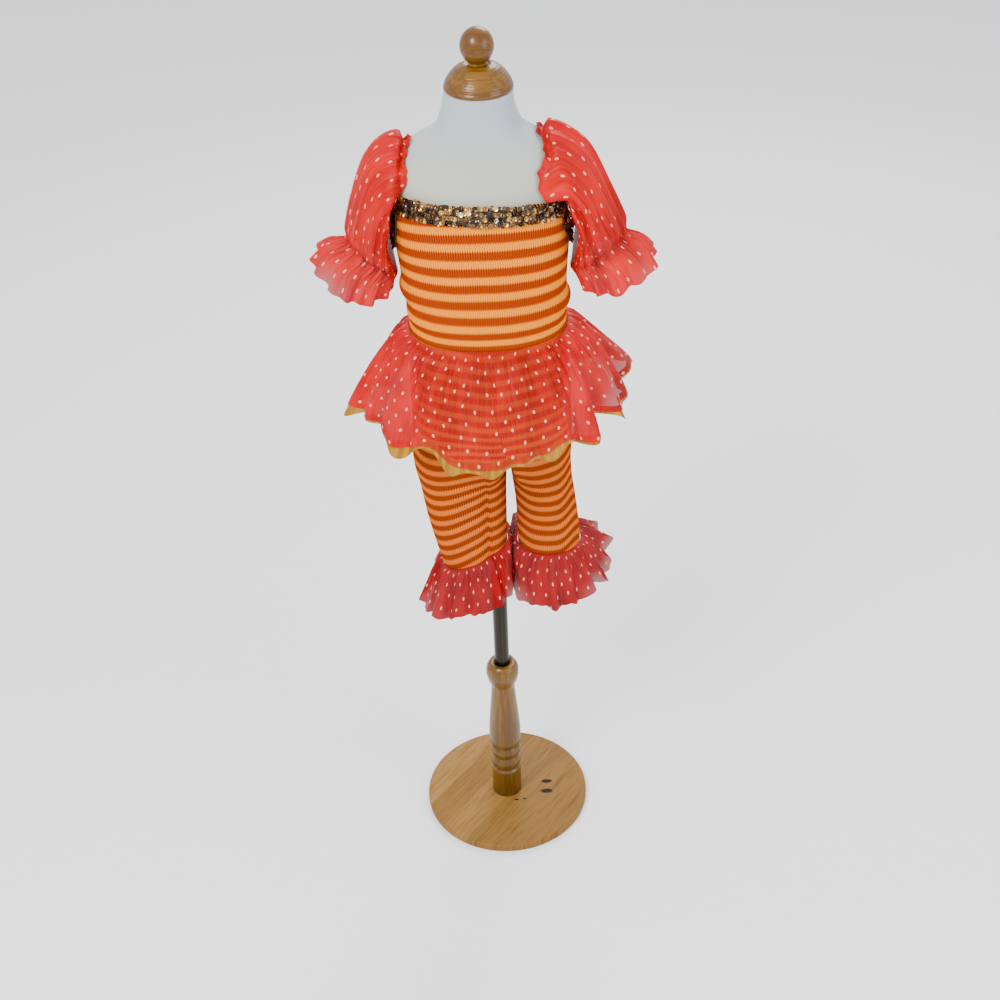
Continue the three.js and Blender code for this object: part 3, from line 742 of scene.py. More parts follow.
def sleeve_ring(row, turn, seed):
    outer = np.array([row.outer_x, 0, row.outer_z])
    inner = np.array([row.inner_x, 0, row.inner_z])
    middle = (outer + inner) / 2
    offset = np.cos(turn)[:, None] * (outer - middle)
    offset[:, 1] += row.depth * np.sin(turn)
    offset[:, 2] += row.dip * np.sin(turn)
    waves = 0.3 * np.cos(CUFF_WAVES * turn) + 0.55 * gathers(turn, CUFF_WAVES - 5, seed)
    fold = row.gather * np.cos(GATHERS * turn) + row.wave * waves
    inward = smoothstep(-np.cos(turn), 0.6, 1) * (0 if row.wave > 0 else 1)
    return middle + offset + (fold * (1 - inward))[:, None] * unit(offset)


def sleeve(side, material):
    columns, bands = 384, 96
    sign = -1 if side == "right" else 1
    seed = 5 if side == "right" else 9
    turn = sign * turns(columns)
    level = np.abs(np.cos(turn))
    ripple = smoothstep(level, 0.2, 0.6) * (1 + np.cos(GATHERS * turn))
    drawn = strap_points(side, turn, ripple)
    rows = SLEEVES[side]["rows"]
    rings = [SimpleNamespace(**dict(zip(rows.columns, row))) for row in rows.each()]
    rings = [sleeve_ring(ring, turn, seed) for ring in rings]
    on = smoothstep(np.cos(turn), 0, 0.5)[:, None]
    top = smoothstep(np.cos(turn), 0, 0.7)
    towards = points_of(-0.75, np.sin(turn) * lerp(0.5, 0.2, top), lerp(0.1, 0.6, top)) * FRILL
    towards[:, 2] += ripples(turn, seed + 1, (GATHERS + 3, 1.7), (2 * GATHERS, 0.7))
    towards[:, 0] += 1.3 * gathers(turn, 2 * GATHERS - 5, seed + 3)
    away = SEAM_EDGE * unit(drawn - rings[0])
    frill = drawn + lerp(away, towards, on)
    coarse = np.array([frill, drawn, *rings])
    place = np.linspace(0, len(coarse) - 1, bands)
    points = spline(coarse, place)
    points[..., 0] *= sign
    normal = outwards(points, True)
    row = place[:, None]
    drawn_near = bell(row - 1, 0.7) * smoothstep(row, 1, 1.3)
    cuff_near = bell(row - 7, 0.9)
    puff = smoothstep(row, 1.2, 2.4) * (1 - smoothstep(row, 6, 6.8))
    free = smoothstep(row, 7.4, 8.8)
    fold = ripples(
        turn,
        seed + 4,
        (46, 1.4 * drawn_near + 1.5 * cuff_near + 0.4 * puff),
        (83, 0.5 * drawn_near + 0.7 * cuff_near),
        (9, 2.8 * puff),
        (19, 1.8 * free),
    )
    clear = smoothstep(np.cos(turn), -1, -0.6) * smoothstep(row, 1, 1.6)
    points = points + (np.maximum(fold, -1.6) * clear)[..., None] * normal
    uv = cloth_uv(points, True, SLEEVE_CLOTH)
    patch = bell(turn_between(np.degrees(turn), -48), 26) * (0.9 if side == "right" else 0.3)
    hem = smoothstep(row, 7.9, 9) * patch
    return cloth(f"{side}_sleeve", points, uv, material, down=hem)


# The skirt


def skirt_points(angle, share):
    row = SKIRT_ROWS.at("share", share)
    degrees = np.degrees(angle)
    grown = np.maximum(share, 0) ** 1.3
    out = grown * SKIRT_FOLDS.around("out", degrees)
    up = grown * SKIRT_FOLDS.around("up", degrees)
    out = out + row.wave * np.cos(SKIRT_WAVES * angle + 0.8 * np.sin(2 * angle))
    out = out + row.gather * (1 + np.cos(SKIRT_GATHERS * angle))
    fine = smoothstep(share, 0.02, 0.12) * (1 - smoothstep(share, 0.25, 0.8))
    out = out + fine * (ripples(angle, 21, (71, 1.5), (113, 0.8)) + 1.2)
    out = out + 3.0 * smoothstep(share, 0.2, 0.9) * gathers(angle, 29, 23)
    x = (row.half_width + out) * np.cos(angle)
    y = (row.half_depth + out) * np.sin(angle)
    flared = points_of(x, y, row.z + up)
    seam = on_form(angle, row.z, KNIT_OUT + SEAM + SHEER + 0.3)
    return lerp(seam, flared, smoothstep(share, 0, 0.06)[..., None])


def skirt(material):
    bands = 76
    shares = np.linspace(0, 1, bands)[:, None]
    points = skirt_points(turns(SKIRT_COLUMNS), shares)
    uv = cloth_uv(points, True, SKIRT_CLOTH)
    x, y = points[..., 0], points[..., 1]
    front = smoothstep(-y, 20, 60) * (1 - smoothstep(np.abs(x), 84, 104))
    side = smoothstep(shares, 0.5, 0.95) * smoothstep(x, 136, 162)
    return cloth("gathered_skirt", points, uv, material, see=front, down=0.75 * side)


def hem_band(material):
    """The gold band. It shows most where a fold turns the hem's inner side out."""
    angle = turns(SKIRT_COLUMNS)
    reach = BAND_TO + BAND_PATCHES.around("extra", np.degrees(angle))
    bands = 9
    down = np.linspace(0, 1, bands)[:, None]
    points = skirt_points(angle, lerp(BAND_FROM, reach, down))
    points = points - BAND_BEHIND * outwards(points, True)
    uv = cloth_uv(points, True)
    return cloth("hem_binding", points, uv, material, thickness=BAND_THICK)


# The ruffles at the legs


def ruffle(side, material):
    columns, bands = 480, 44
    sign = -1 if side == "right" else 1
    seed = 31 if side == "right" else 41
    down = np.linspace(0, 1, bands)[:, None]
    share = np.arange(columns)[None, :] / columns
    if side == "right":
        share = 1 - share
    start = leg_points(side, HEM[side] + 0 * share, share) + 0 * down[..., None]
    start[..., 2] += 1.5
    angle = math.pi + TAU * share
    degrees = np.degrees(angle)
    outward = points_of(sign * np.cos(angle), np.sin(angle), 0)
    waves = 0.55 * np.cos(RUFFLE_WAVES * angle) + 0.6 * gathers(angle, RUFFLE_WAVES - 3, seed)
    wave = RUFFLE_WAVE * down * waves
    lobes = RUFFLE_LOBES[side]
    flare = RUFFLE_FLARE * down**0.8 + down * lobes.around("out", degrees)
    drop = RUFFLE_DROP * down**1.25 - down**1.5 * lobes.around("up", degrees)
    close = smoothstep(down, 0.01, 0.1) * (1 - smoothstep(down, 0.25, 0.75))
    pleats = close * (ripples(angle, seed + 1, (58, 1.6), (97, 0.8)) + 1.6)
    pleats = pleats + 2.2 * smoothstep(down, 0.3, 1) * gathers(angle, 33, seed + 3)
    towards = np.maximum(-sign * outward[..., 0], 0.001)
    height = start[..., 2] - drop + 0.35 * wave
    middle = MID_GAP - MID_SLANT * start[..., 1] + MID_WAVE * np.sin(height / 8)
    room = (sign * (start[..., 0] - middle) - MID_CLEAR) / towards
    reach = room * np.tanh((flare + wave + pleats) / room)
    points = start + (reach + 0.5)[..., None] * outward
    points[..., 2] = height + 4 * down**2 * gathers(angle, 9, seed + 4)
    uv = cloth_uv(points, True, RUFFLE_CLOTH)
    edge = smoothstep(np.cos(angle), 0.45, 0.9) * (0.9 if side == "left" else 0.2)
    patch = 0.7 * bell(turn_between(degrees, 222), 18)
    hem = smoothstep(down, 0.65, 1) * np.maximum(edge, patch)
    return cloth(f"{side}_leg_ruffle", points, uv, material, down=hem)


# The bodice and the braid


def bodice(name, start, end, material):
    columns, bands = 180, 110
    half = SEAM / FORM.columns["half_width"][0]
    angle = np.linspace(math.radians(start) + half, math.radians(end) - half, columns + 1)
    top = top_edge(angle)
    share = np.linspace(0, 1, bands)[:, None]
    z = lerp(top, WAIST, share)
    points = on_form(angle, z, bodice_out(angle, z))
    uv = cloth_uv(points, False)
    height = (z - WAIST) / (NECKLINE - WAIST)
    side = 1 - np.cos(angle) ** 2
    flatter = 10 * height * side * np.where(np.sin(angle) < 0, 1, 0.4)
    course = z - WAIST - flatter
    drawn_in = FIRST_PAIR - (FIRST_PAIR - course) * SEAM_PULL
    uv[..., 1] = np.where(course < FIRST_PAIR, drawn_in, course) - STRIPE_SHIFT
    return cloth(name, points, uv, material, ring=False, thickness=KNIT)


def braid_line(count):
    """Angles that are evenly spaced along the one-piece's top edge."""
    angle = TAU * np.arange(4001) / 4000
    edge = on_form(angle, top_edge(angle), TRIM_OUT)
    length = np.concatenate([[0], np.cumsum(np.linalg.norm(np.diff(edge, axis=0), axis=1))])
    return np.interp(np.arange(count) * length[-1] / count, length, angle), length[-1]


def braid_tape(material):
    columns, bands, inset = 480, 9, 0.5
    angle = turns(columns)
    below = np.linspace(inset, TRIM_WIDE - inset, bands)[:, None]
    points = on_form(angle, top_edge(angle) - below, TRIM_OUT)
    return cloth("braid_tape", points, cloth_uv(points, True), material, thickness=TRIM_THICK)


def node_tree(name, sizes):
    """A Geometry Nodes tree with a mesh input and named number inputs."""
    tree = bpy.data.node_groups.new(name, "GeometryNodeTree")
    tree.interface.new_socket("Geometry", in_out="INPUT", socket_type="NodeSocketGeometry")
    for label, value in sizes.items():
        kind = "NodeSocketInt" if isinstance(value, int) else "NodeSocketFloat"
        tree.interface.new_socket(label, in_out="INPUT", socket_type=kind).default_value = value
    tree.interface.new_socket("Geometry", in_out="OUTPUT", socket_type="NodeSocketGeometry")
    return tree, tree.nodes.new("NodeGroupInput"), tree.nodes.new("NodeGroupOutput")


def sequins_tree(material):
    """Sets a cupped sequin with a hole on each point, facing out and a little askew."""
    sizes = {"Radius": 3.2 * MM, "Hole": 0.55 * MM, "Dish": 0.8 * MM, "Askew": 0.36, "Seed": 4}
    tree, start, end = node_tree("sequin rows", sizes)
    nodes = Nodes(tree)
    node = nodes.node
    points, radius, hole, dish, askew, seed = (Wire(nodes, s) for s in start.outputs[:6])
    sides, flat_share, rim_rise, weld = 12, 0.55, 0.35, 0.02 * MM

    def cone(inner, outer, depth):
        sockets = {"Vertices": sides, "Radius Bottom": inner, "Radius Top": outer, "Depth": depth}
        return node("GeometryNodeMeshCone", sockets, fill_type="NONE")

    half = radius * flat_share
    cup, rim = cone(hole, half, dish), cone(half, radius, dish * rim_rise)
    lift = node("CombineXYZ", {"Z": dish})
    raised = node("GeometryNodeTransform", {"Geometry": rim, "Translation": lift})
    joined = nodes.add("GeometryNodeJoinGeometry", [cup])
    tree.links.new(raised.socket, joined.inputs[0])
    both = {"Geometry": joined.outputs[0], "Distance": weld}
    sequin = node("GeometryNodeMergeByDistance", both)

    vector = {"data_type": "FLOAT_VECTOR"}
    facing = node("GeometryNodeInputNamedAttribute", {"Name": "facing"}, **vector)
    out = node("FunctionNodeAlignRotationToVector", {"Vector": facing}, axis="Z")
    minus = askew * -1
    low = node("CombineXYZ", {"X": minus, "Y": minus})
    high = node("CombineXYZ", {"X": askew, "Y": askew, "Z": TAU})
    tilt = node("FunctionNodeRandomValue", {0: low, 1: high, "Seed": seed}, **vector)
    tilt = node("FunctionNodeEulerToRotation", [tilt])
    turned = node("FunctionNodeRotateRotation", [out, tilt], rotation_space="LOCAL")

    each = {"Points": points, "Instance": sequin, "Rotation": turned}
    placed = node("GeometryNodeInstanceOnPoints", each)
    real = node("GeometryNodeRealizeInstances", [placed])
    island = node("GeometryNodeInputMeshIsland", [])
    draw = {"ID": island, "Seed": seed}
    tint = node("FunctionNodeRandomValue", draw, output=1, data_type="FLOAT")
    kept = {"Geometry": real, "Name": "tint", "Value": tint}
    stored = node("GeometryNodeStoreNamedAttribute", kept, data_type="FLOAT", domain="POINT")
    painted = node("GeometryNodeSetMaterial", {"Geometry": stored, "Material": material})
    tree.links.new(painted.socket, end.inputs[0])
    return tree


def made_by_nodes(name, points, facings, tree):
    """The plain mesh that a tree makes on loose points, each with the way it faces."""
    source = bpy.data.meshes.new(name + "_points")
    source.from_pydata((points * MM).tolist(), [], [])
    vectors = source.attributes.new("facing", "FLOAT_VECTOR", "POINT")
    vectors.data.foreach_set("vector", facings.ravel())
    carrier = in_scene(name + "_points", source)
    carrier.modifiers.new("nodes", "NODES").node_group = tree
    graph = bpy.context.evaluated_depsgraph_get()
    mesh = bpy.data.meshes.new_from_object(carrier.evaluated_get(graph))
    bpy.data.objects.remove(carrier)
    mesh.name = name
    smooth(mesh)
    return in_scene(name, mesh)


def sequin_rows(material):
    rng = np.random.default_rng(8)
    spots, facings = [], []
    _, length = braid_line(1)
    rows = 4
    count = int(length / SEQUIN_STEP)
    for k in range(rows):
        angle, _ = braid_line(count)
        angle = angle + (0.5 * (k % 2) + rng.uniform(-0.2, 0.2, count)) * TAU / count
        below = lerp(-1.0, TRIM_WIDE - 1.5, k / (rows - 1)) + rng.uniform(-1.3, 1.3, count)
        z = top_edge(angle) - below
        out = TRIM_OUT + rng.uniform(0.5, 1.5, count)
        spot = on_form(angle, z, out)
        facing = on_form(angle, z, out + 1) - spot
        facing[:, 2] += 0.25
        spots.append(spot)
        facings.append(unit(facing))
    spots, facings = np.concatenate(spots), np.concatenate(facings)
    return made_by_nodes("neckline_sequins", spots, facings, sequins_tree(material))


# The form and the stand


def torso(material):
    """The form, closed at its neck and its underside."""
    columns, bands = 144, 170
    heights = np.linspace(FORM_TOP, FORM_FOOT, bands)[:, None]
    snug = SNUG * (1 - smoothstep(heights, NECKLINE + 2, NECKLINE + 22))
    points = on_form(turns(columns), heights, -snug)
    top, foot = points[0].mean(0), points[-1].mean(0)
    neck = [lerp(top, points[0], t)[None] for t in (0.02, 0.5)]
    under = [lerp(foot, points[-1], t)[None] for t in (0.97, 0.6, 0.02)]
    points = np.concatenate([*neck, points, *under])
    j, i = quads_of(len(points), columns, True)
    last = (len(points) - 1) * columns
    ends = [list(range(columns)), list(range(last, last + columns))[::-1]]
    return mesh_object("dress_form", points, (j * columns + i % columns).tolist() + ends, material)


def stand_base(material):
    edge = 3
    outline = [
        (0, 0),
        *arc(BASE_RADIUS - edge, edge, edge, edge, -90, 0, 5),
        *arc(BASE_RADIUS - edge, BASE_HIGH - edge, edge, edge, 0, 90, 6),
        (0, BASE_HIGH),
    ]
    return lathe("round_base", outline, material, steps=192)


def stand_column(material):
    rows = [(119, 24), (140, 24.2), (175, 22), (210, 19), (236, 17.5), (246, 22)]
    vase = curve_between(rows, 24)
    foot = [(0, COLUMN_FOOT), (22, COLUMN_FOOT), (22.5, COLUMN_FOOT + 0.8), (22.5, 63.4)]
    lower_ring = [(21.6, 64.4), (19.6, 67), *arc(19, 79, 4.5, 10, -66, 66, 9), (19.4, 90.6)]
    upper_ring = [*arc(19, 102, 4.5, 9, -66, 66, 9), (19.6, 112), (20.5, 113), (22.8, 116)]
    knob = arc(21, 262, 3.4, 12, -60, 70, 12)
    rim = [(19, COLUMN_TOP - 0.4), (18, COLUMN_TOP), (13.5, COLUMN_TOP)]
    socket = [(SOCKET_RADIUS, COLUMN_TOP - 1.5), (SOCKET_RADIUS, SOCKET_FLOOR), (0, SOCKET_FLOOR)]
    outline = [*foot, *lower_ring, *upper_ring, *vase, *knob, *rim, *socket]
    return lathe("turned_column", outline, material, steps=96)


def stand_pole(material):
    foot, bevel = SOCKET_FLOOR + SEAM, 0.5
    inner = POLE_RADIUS - bevel
    low = [(0, foot), (inner, foot), (POLE_RADIUS, foot + bevel)]
    high = [(POLE_RADIUS, POLE_TOP - bevel), (inner, POLE_TOP), (0, POLE_TOP)]
    return lathe("steel_pole", low + high, material, steps=72)


def neck_cap(material):
    """A dome with fine turned grooves."""
    rows = [(1179, 40.4), (1183, 39), (1189.5, 35), (1195.5, 29.5), (1200, 23.5), (1202.5, 17.5)]
    grooved = [
        (radius - 0.35 * bell(math.sin(1.05 * z), 0.25), z) for radius, z in curve_between(rows, 60)
    ]
    foot = [(0, CAP_FOOT), (37.5, CAP_FOOT), *arc(37.5, CAP_FOOT + 3.5, 4, 3.5, -80, 30, 8)]
    crown = [(15.2, 1202.6), (14.5, 1202.1), (13, CAP_TOP), (0, CAP_TOP)]
    return lathe("neck_cap", [*foot, *grooved, *crown], material, steps=128)


def finial(material):
    foot = CAP_TOP + SEAM
    middle = 1223.5
    egg = arc(0, middle, 20.2, FINIAL_TOP - middle, -60, 90, 30)
    neck = [(0, foot), (11.5, foot), (11.5, foot + 1.6), (10.6, foot + 2.6)]
    outline = [*neck, *egg[:-1], (0, FINIAL_TOP)]
    return lathe("egg_finial", outline, material, steps=96)


# Materials


def math_node(operation):
    def apply(wire, *others):
        return wire.nodes.node("Math", [wire, *others], operation=operation)

    return apply


class Wire:
    """A node's number or vector, whose sums and products add Math nodes."""

    def __init__(self, nodes, socket):
        self.nodes, self.socket = nodes, socket

    __add__ = __radd__ = math_node("ADD")
    __sub__ = math_node("SUBTRACT")
    __mul__ = __rmul__ = math_node("MULTIPLY")
    __truediv__ = math_node("DIVIDE")
    __pow__ = math_node("POWER")
    floor = math_node("FLOOR")
    fract = math_node("FRACT")
    size = math_node("ABSOLUTE")
    sine = math_node("SINE")

    def __rsub__(self, other):
        return self.nodes.node("Math", [other, self], operation="SUBTRACT")

    def over(self, low, high):
        """0 below low, 1 above high, and smooth between them."""
        return self.nodes.node("MapRange", [self, low, high], interpolation_type="SMOOTHSTEP")


class Nodes:
    """A node tree, and short ways to add to it."""

    def __init__(self, tree):
        self.tree = tree

    def add(self, kind, values, **settings):
        """A node of a type, with its settings first and then its sockets' values or links."""
        node = self.tree.nodes.new(kind if "Node" in kind else "ShaderNode" + kind)
        for key, value in settings.items():
            setattr(node, key, value)
        pairs = values.items() if isinstance(values, dict) else enumerate(values)
        for key, value in pairs:
            value = value.socket if isinstance(value, Wire) else value
            if isinstance(value, bpy.types.NodeSocket):
                self.tree.links.new(value, node.inputs[key])
            elif node.inputs[key].type == "RGBA":
                node.inputs[key].default_value = (*value, 1)
            else:
                node.inputs[key].default_value = value
        return node

    def node(self, kind, values, output=0, **settings):
        return Wire(self, self.add(kind, values, **settings).outputs[output])


class Paint(Nodes):
    """A material, and short ways to add its nodes."""

    def __init__(self, name):
        self.material = bpy.data.materials.new(name)
        self.material.use_nodes = True
        super().__init__(self.material.node_tree)
        self.tree.nodes.clear()
        self.surface = self.tree.nodes.new("ShaderNodeOutputMaterial").inputs[0]

    def parts(self, vector):
        """A vector's three numbers."""
        return [Wire(self, socket) for socket in self.add("SeparateXYZ", [vector]).outputs]

    def cloth_place(self):
        """Along and down the cloth, in millimetres."""
        along, down, _ = self.parts(self.node("UVMap", [], uv_map="cloth"))
        return along * 1000, down * 1000

    def object_place(self):
        """A point's place as a vector in metres, and its three numbers in millimetres."""
        place = self.node("TexCoord", [], output=3)
        return place, *[part * 1000 for part in self.parts(place)]

    def attribute(self, name):
        return self.node("Attribute", [], output=2, attribute_name=name)

    def noise(self, place, scale, detail=2.0, rough=0.5):
        values = {"Vector": place, "Scale": scale, "Detail": detail, "Roughness": rough}
        return self.node("TexNoise", values)

    def mapped(self, place, move, turn, scale):
        return self.node("Mapping", [place, move, turn, scale])

    def vector(self, *parts):
        return self.node("CombineXYZ", parts)

    def mix(self, share, low, high):
        """A colour between two, each a wire or screen values of 0 to 255."""
        values = {0: share, 6: colour(low), 7: colour(high)}
        return self.node("Mix", values, output=2, data_type="RGBA")

    def bump(self, height, strength, distance):
        return self.node("Bump", {"Strength": strength, "Distance": distance, "Height": height})

    def finish(self, **sockets):
        """A principled surface, with sockets named with underscores for spaces."""
        values = {key.replace("_", " "): value for key, value in sockets.items()}
        shader = self.add("BsdfPrincipled", values)
        self.tree.links.new(shader.outputs[0], self.surface)
        return self.material


def colour(value):
    """A colour as it is, or from its screen values of 0 to 255."""
    if not isinstance(value, tuple):
        return value
    return tuple(screen(v) for v in value)


def screen(value):
    v = value / 255
    return v / 12.92 if v <= 0.04045 else ((v + 0.055) / 1.055) ** 2.4


def striped_knit(name, pair, deep, pale):
    """Ribbed knit in two-colour stripes. Their edges step from rib to rib."""
    rib, stitch_high, pale_share, edge, step = 2.9, 1.9, 0.46, 0.04, 3.1
    paint = Paint(name)
    along, down = paint.cloth_place()
    place = paint.vector(along, down)
    wander = (paint.noise(place, 0.018, 1.0) - 0.5) * 3
    rib_share = ((along + wander * 0.4) / rib).fract()
    ridge = 1 - (rib_share - 0.5).size() * 2
    course = down + (ridge - 0.5) * step + wander * 0.6
    share = (course / pair).fract()
    inside = share.over(0.0, edge) * (1 - share.over(pale_share, pale_share + edge))
    stitch = ((down + ridge * 1.3) / stitch_high).fract()
    loop = (stitch - 0.5).size() * 2
    mottle = paint.noise(place, 0.35, 3.0, 0.6)
    # Painted shade: the knit darkens in the troughs between ribs and lightens on the ribs and
    # loops, with some random mottle
    rib_shade_and_mottle = 0.62 + 0.3 * ridge**0.6 + 0.16 * loop * ridge + (mottle - 0.5) * 0.2
    base = paint.mix(inside, deep, pale)
    # Darker copies of the two stripe colours, used as the painted shade between the ribs
    rib_shaded_colour = paint.mix(inside, tuple(v * 0.42 for v in deep), tuple(v * 0.62 for v in pale))
    tone = paint.mix(rib_shade_and_mottle.over(0.45, 1.0), rib_shaded_colour, base)
    normal = paint.bump(ridge**0.5 * 0.7 + loop * ridge * 0.3, 0.7, 0.0009)
    return paint.finish(Base_Color=tone, Roughness=0.88, Normal=normal, Specular_IOR_Level=0.0)


def dotted_organza(name, body, deep):
    """Sheer cloth with flocked dots. Where the attribute down nears 1, one layer shows duller,
    and where see nears 1, what lies close behind shows through."""
    paint = Paint(name)
    along, down = paint.cloth_place()
    pitch, line = 31.0, 15.5
    row = (down / line).floor()
    across = (along + (row * 0.5).fract() * pitch) / pitch
    cell = paint.vector(across.floor(), row)
    jitter = paint.node("TexWhiteNoise", [cell], output=1, noise_dimensions="2D")
    sideways, lengthways, _ = paint.parts(jitter)
    dx = (across.fract() - 0.5) * pitch + (sideways - 0.5) * 10
    dy = ((down / line).fract() - 0.5) * line + (lengthways - 0.5) * 7
    away = (dx * dx + dy * dy) ** 0.5
    dot = 1 - away.over(2.1, 2.5)
    ring = away.over(2.0, 2.4) * (1 - away.over(2.5, 3.4))
    cloud = paint.noise(paint.vector(along, down), 0.02)
    crease = paint.noise(paint.vector(along, down * 0.12), 0.22)
    hem, see = paint.attribute("down"), paint.attribute("see")
    # The colour runs from the deep tone to the body tone by a random cloud and by the crease noise
    # that also makes the bump, so the creases' troughs carry painted shade
    tone = paint.mix((cloud * 0.6 + crease * 0.4).over(0.3, 0.7), deep, body)
    dull = paint.mix(hem * 0.8, tone, (118, 20, 20))
    edged = paint.mix(ring * 0.45, dull, (96, 10, 12))
    full = paint.mix(dot, edged, (238, 138, 112))
    weave = (along * 4.2).sine() * (down * 4.2).sine() * 0.01
    alpha = 0.98 + crease * 0.02 + weave - see * (0.52 - crease * 0.26) - hem * 0.12
    alpha = paint.node("Math", [alpha, dot], operation="MAXIMUM")
    normal = paint.bump(dot * 0.7 + crease * 0.6, 0.5, 0.0008)
    return paint.finish(
        Base_Color=full, Alpha=alpha, Roughness=0.45, Normal=normal, Specular_IOR_Level=0.1
    )


def gold_satin():
    paint = Paint("gold satin")
    along, down = paint.cloth_place()
    crease = paint.noise(paint.vector(along, down * 0.2), 0.12, 3.0)
    # Painted shade: the satin darkens in the troughs of the crease noise that also makes the bump
    tone = paint.mix(crease.over(0.3, 0.7), (132, 84, 0), (176, 124, 0))
    normal = paint.bump(crease + (along * 9 + down * 3).sine() * 0.05, 0.5, 0.001)
    return paint.finish(
        Base_Color=tone, Roughness=0.36, Metallic=0.2, Normal=normal, Specular_IOR_Level=0.35
    )


def sequin_foil():
    paint = Paint("sequin foil")
    # Random sequin tints from black through browns to gold; the palest stops at the top paint
    # glints into some sequins' colour, as painted highlights
    tints_with_glints = [
        (0.0, (0.006, 0.004, 0.002)),
        (0.25, (0.03, 0.014, 0.004)),
        (0.5, (0.1, 0.045, 0.01)),
        (0.75, (0.26, 0.12, 0.022)),
        (0.93, (0.5, 0.27, 0.06)),
        (1.0, (0.9, 0.72, 0.38)),
    ]
    made = paint.add("ValToRGB", [paint.attribute("tint")])
    ramp = made.color_ramp.elements
    for place, _ in tints_with_glints[1:-1]:
        ramp.new(place)
    for element, (_, tone) in zip(ramp, tints_with_glints):
        element.color = (*tone, 1)
    foil = {"Metallic": 0.85, "Roughness": 0.2, "Coat_Weight": 0.5, "Coat_Roughness": 0.1}
    return paint.finish(Base_Color=made.outputs[0], **foil)


def tape_cloth():
    paint = Paint("braid tape")
    along, down = paint.cloth_place()
    weave = (along * 5).sine() * (down * 5).sine()
    tone = paint.mix(weave * 0.5 + 0.5, (38, 22, 12), (74, 46, 22))
    return paint.finish(Base_Color=tone, Roughness=0.8, Normal=paint.bump(weave, 0.3, 0.0004))


def form_jersey():
    paint = Paint("form jersey")
    place, x, y, z = paint.object_place()
    cloud = paint.noise(place, 9.0)
    angle = paint.node("Math", [y, x], operation="ARCTAN2")
    wale = (angle * 330).sine()
    course = (z * 4.4 + wale * 0.6).sine()
    chest = paint.mix(cloud.over(0.25, 0.75), (164, 166, 150), (172, 172, 158))
    tone = paint.mix(z.over(1072, 1136), chest, (156, 164, 168))
    normal = paint.bump(wale * 0.5 + course * 0.5, 0.12, 0.0004)
    return paint.finish(Base_Color=tone, Roughness=0.85, Normal=normal, Sheen_Weight=0.2)


def wood(name, along_axis, pale, deep, streak):
    """Turned and varnished wood whose grain runs along one axis."""
    paint = Paint(name)
    place, *_ = paint.object_place()

    def grained(move, turn, along, across, *detail):
        scale = tuple(along if k == along_axis else across for k in range(3))
        return paint.noise(paint.mapped(place, move, turn, scale), 1.0, *detail)

    fine = (grained((0, 0, 0), (0, 0.05, 0.1), 6.0, 70.0, 5.0, 0.6) * 26).sine() * 0.5 + 0.5
    broad = grained((0.3, 0.1, 0), (0.04, 0, 0), 2.5, 22.0)
    tone = paint.mix(broad.over(0.3, 0.7), pale, deep)
    tone = paint.mix(fine.over(0.3, 0.95) * 0.45, tone, streak)
    normal = paint.bump(fine, 0.05, 0.0005)
    varnish = {"Specular_IOR_Level": 0.2, "Coat_Weight": 0.3, "Coat_Roughness": 0.12}
    return paint.finish(Base_Color=tone, Roughness=0.42, Normal=normal, **varnish)


def pine_boards():
    """Glued boards with long grain, a few knots and a satin varnish."""
    paint = Paint("laminated pine")
    place, x, y, _ = paint.object_place()
    turned = paint.mapped(place, (0, 0, 0), (0, 0, math.radians(-52)), (1, 1, 1))
    along, across = (part * 1000 for part in paint.parts(turned)[:2])
    board = ((across + 12) / 44).floor()
    tint = paint.node("TexWhiteNoise", {"W": board}, noise_dimensions="1D")
    knots = 0
    for knot_x, knot_y, size in ((63, 8, 7.5), (62, -13, 8.5), (14, -29, 3.2), (27, -28, 2.8)):
        far = (((x - knot_x) ** 2) * 0.5 + (y - knot_y) ** 2 * 2.2) ** 0.5
        knots = (1 - far.over(size * 0.6, size)) + knots
    warp = paint.noise(paint.vector(along * 0.006, across * 0.03, board * 7), 1.0) * 6
    lines = paint.vector(along * 0.012, across * 0.35 + warp, board * 3)
    fine = (paint.noise(lines, 1.0, 5.0, 0.62) * 22).sine() * 0.5 + 0.5
    tone = paint.mix(tint, (118, 84, 36), (146, 108, 56))
    tone = paint.mix(fine.over(0.2, 0.9) * 0.55, tone, (92, 54, 16))
    streaks = paint.noise(paint.vector(along * 0.01, across * 0.12, board), 1.0)
    tone = paint.mix(streaks.over(0.55, 0.8) * 0.6, tone, (80, 46, 14))
    tone = paint.mix(knots, tone, (26, 8, 4))
    normal = paint.bump(fine, 0.06, 0.0005)
    return paint.finish(Base_Color=tone, Roughness=0.5, Normal=normal, Specular_IOR_Level=0.12)


def brushed_steel():
    paint = Paint("steel tube")
    place, *_ = paint.object_place()
    streak = paint.noise(paint.mapped(place, (0, 0, 0), (0, 0, 0), (260, 260, 3)), 1.0, 3.0)
    tone = paint.mix(streak, (34, 32, 28), (60, 56, 48))
    return paint.finish(Base_Color=tone, Metallic=1.0, Roughness=streak * 0.16 + 0.2)


def plain_floor():
    paint = Paint("pale floor")
    return paint.finish(Base_Color=(0.86, 0.86, 0.86), Roughness=0.9, Specular_IOR_Level=0.1)


# Camera, light and floor


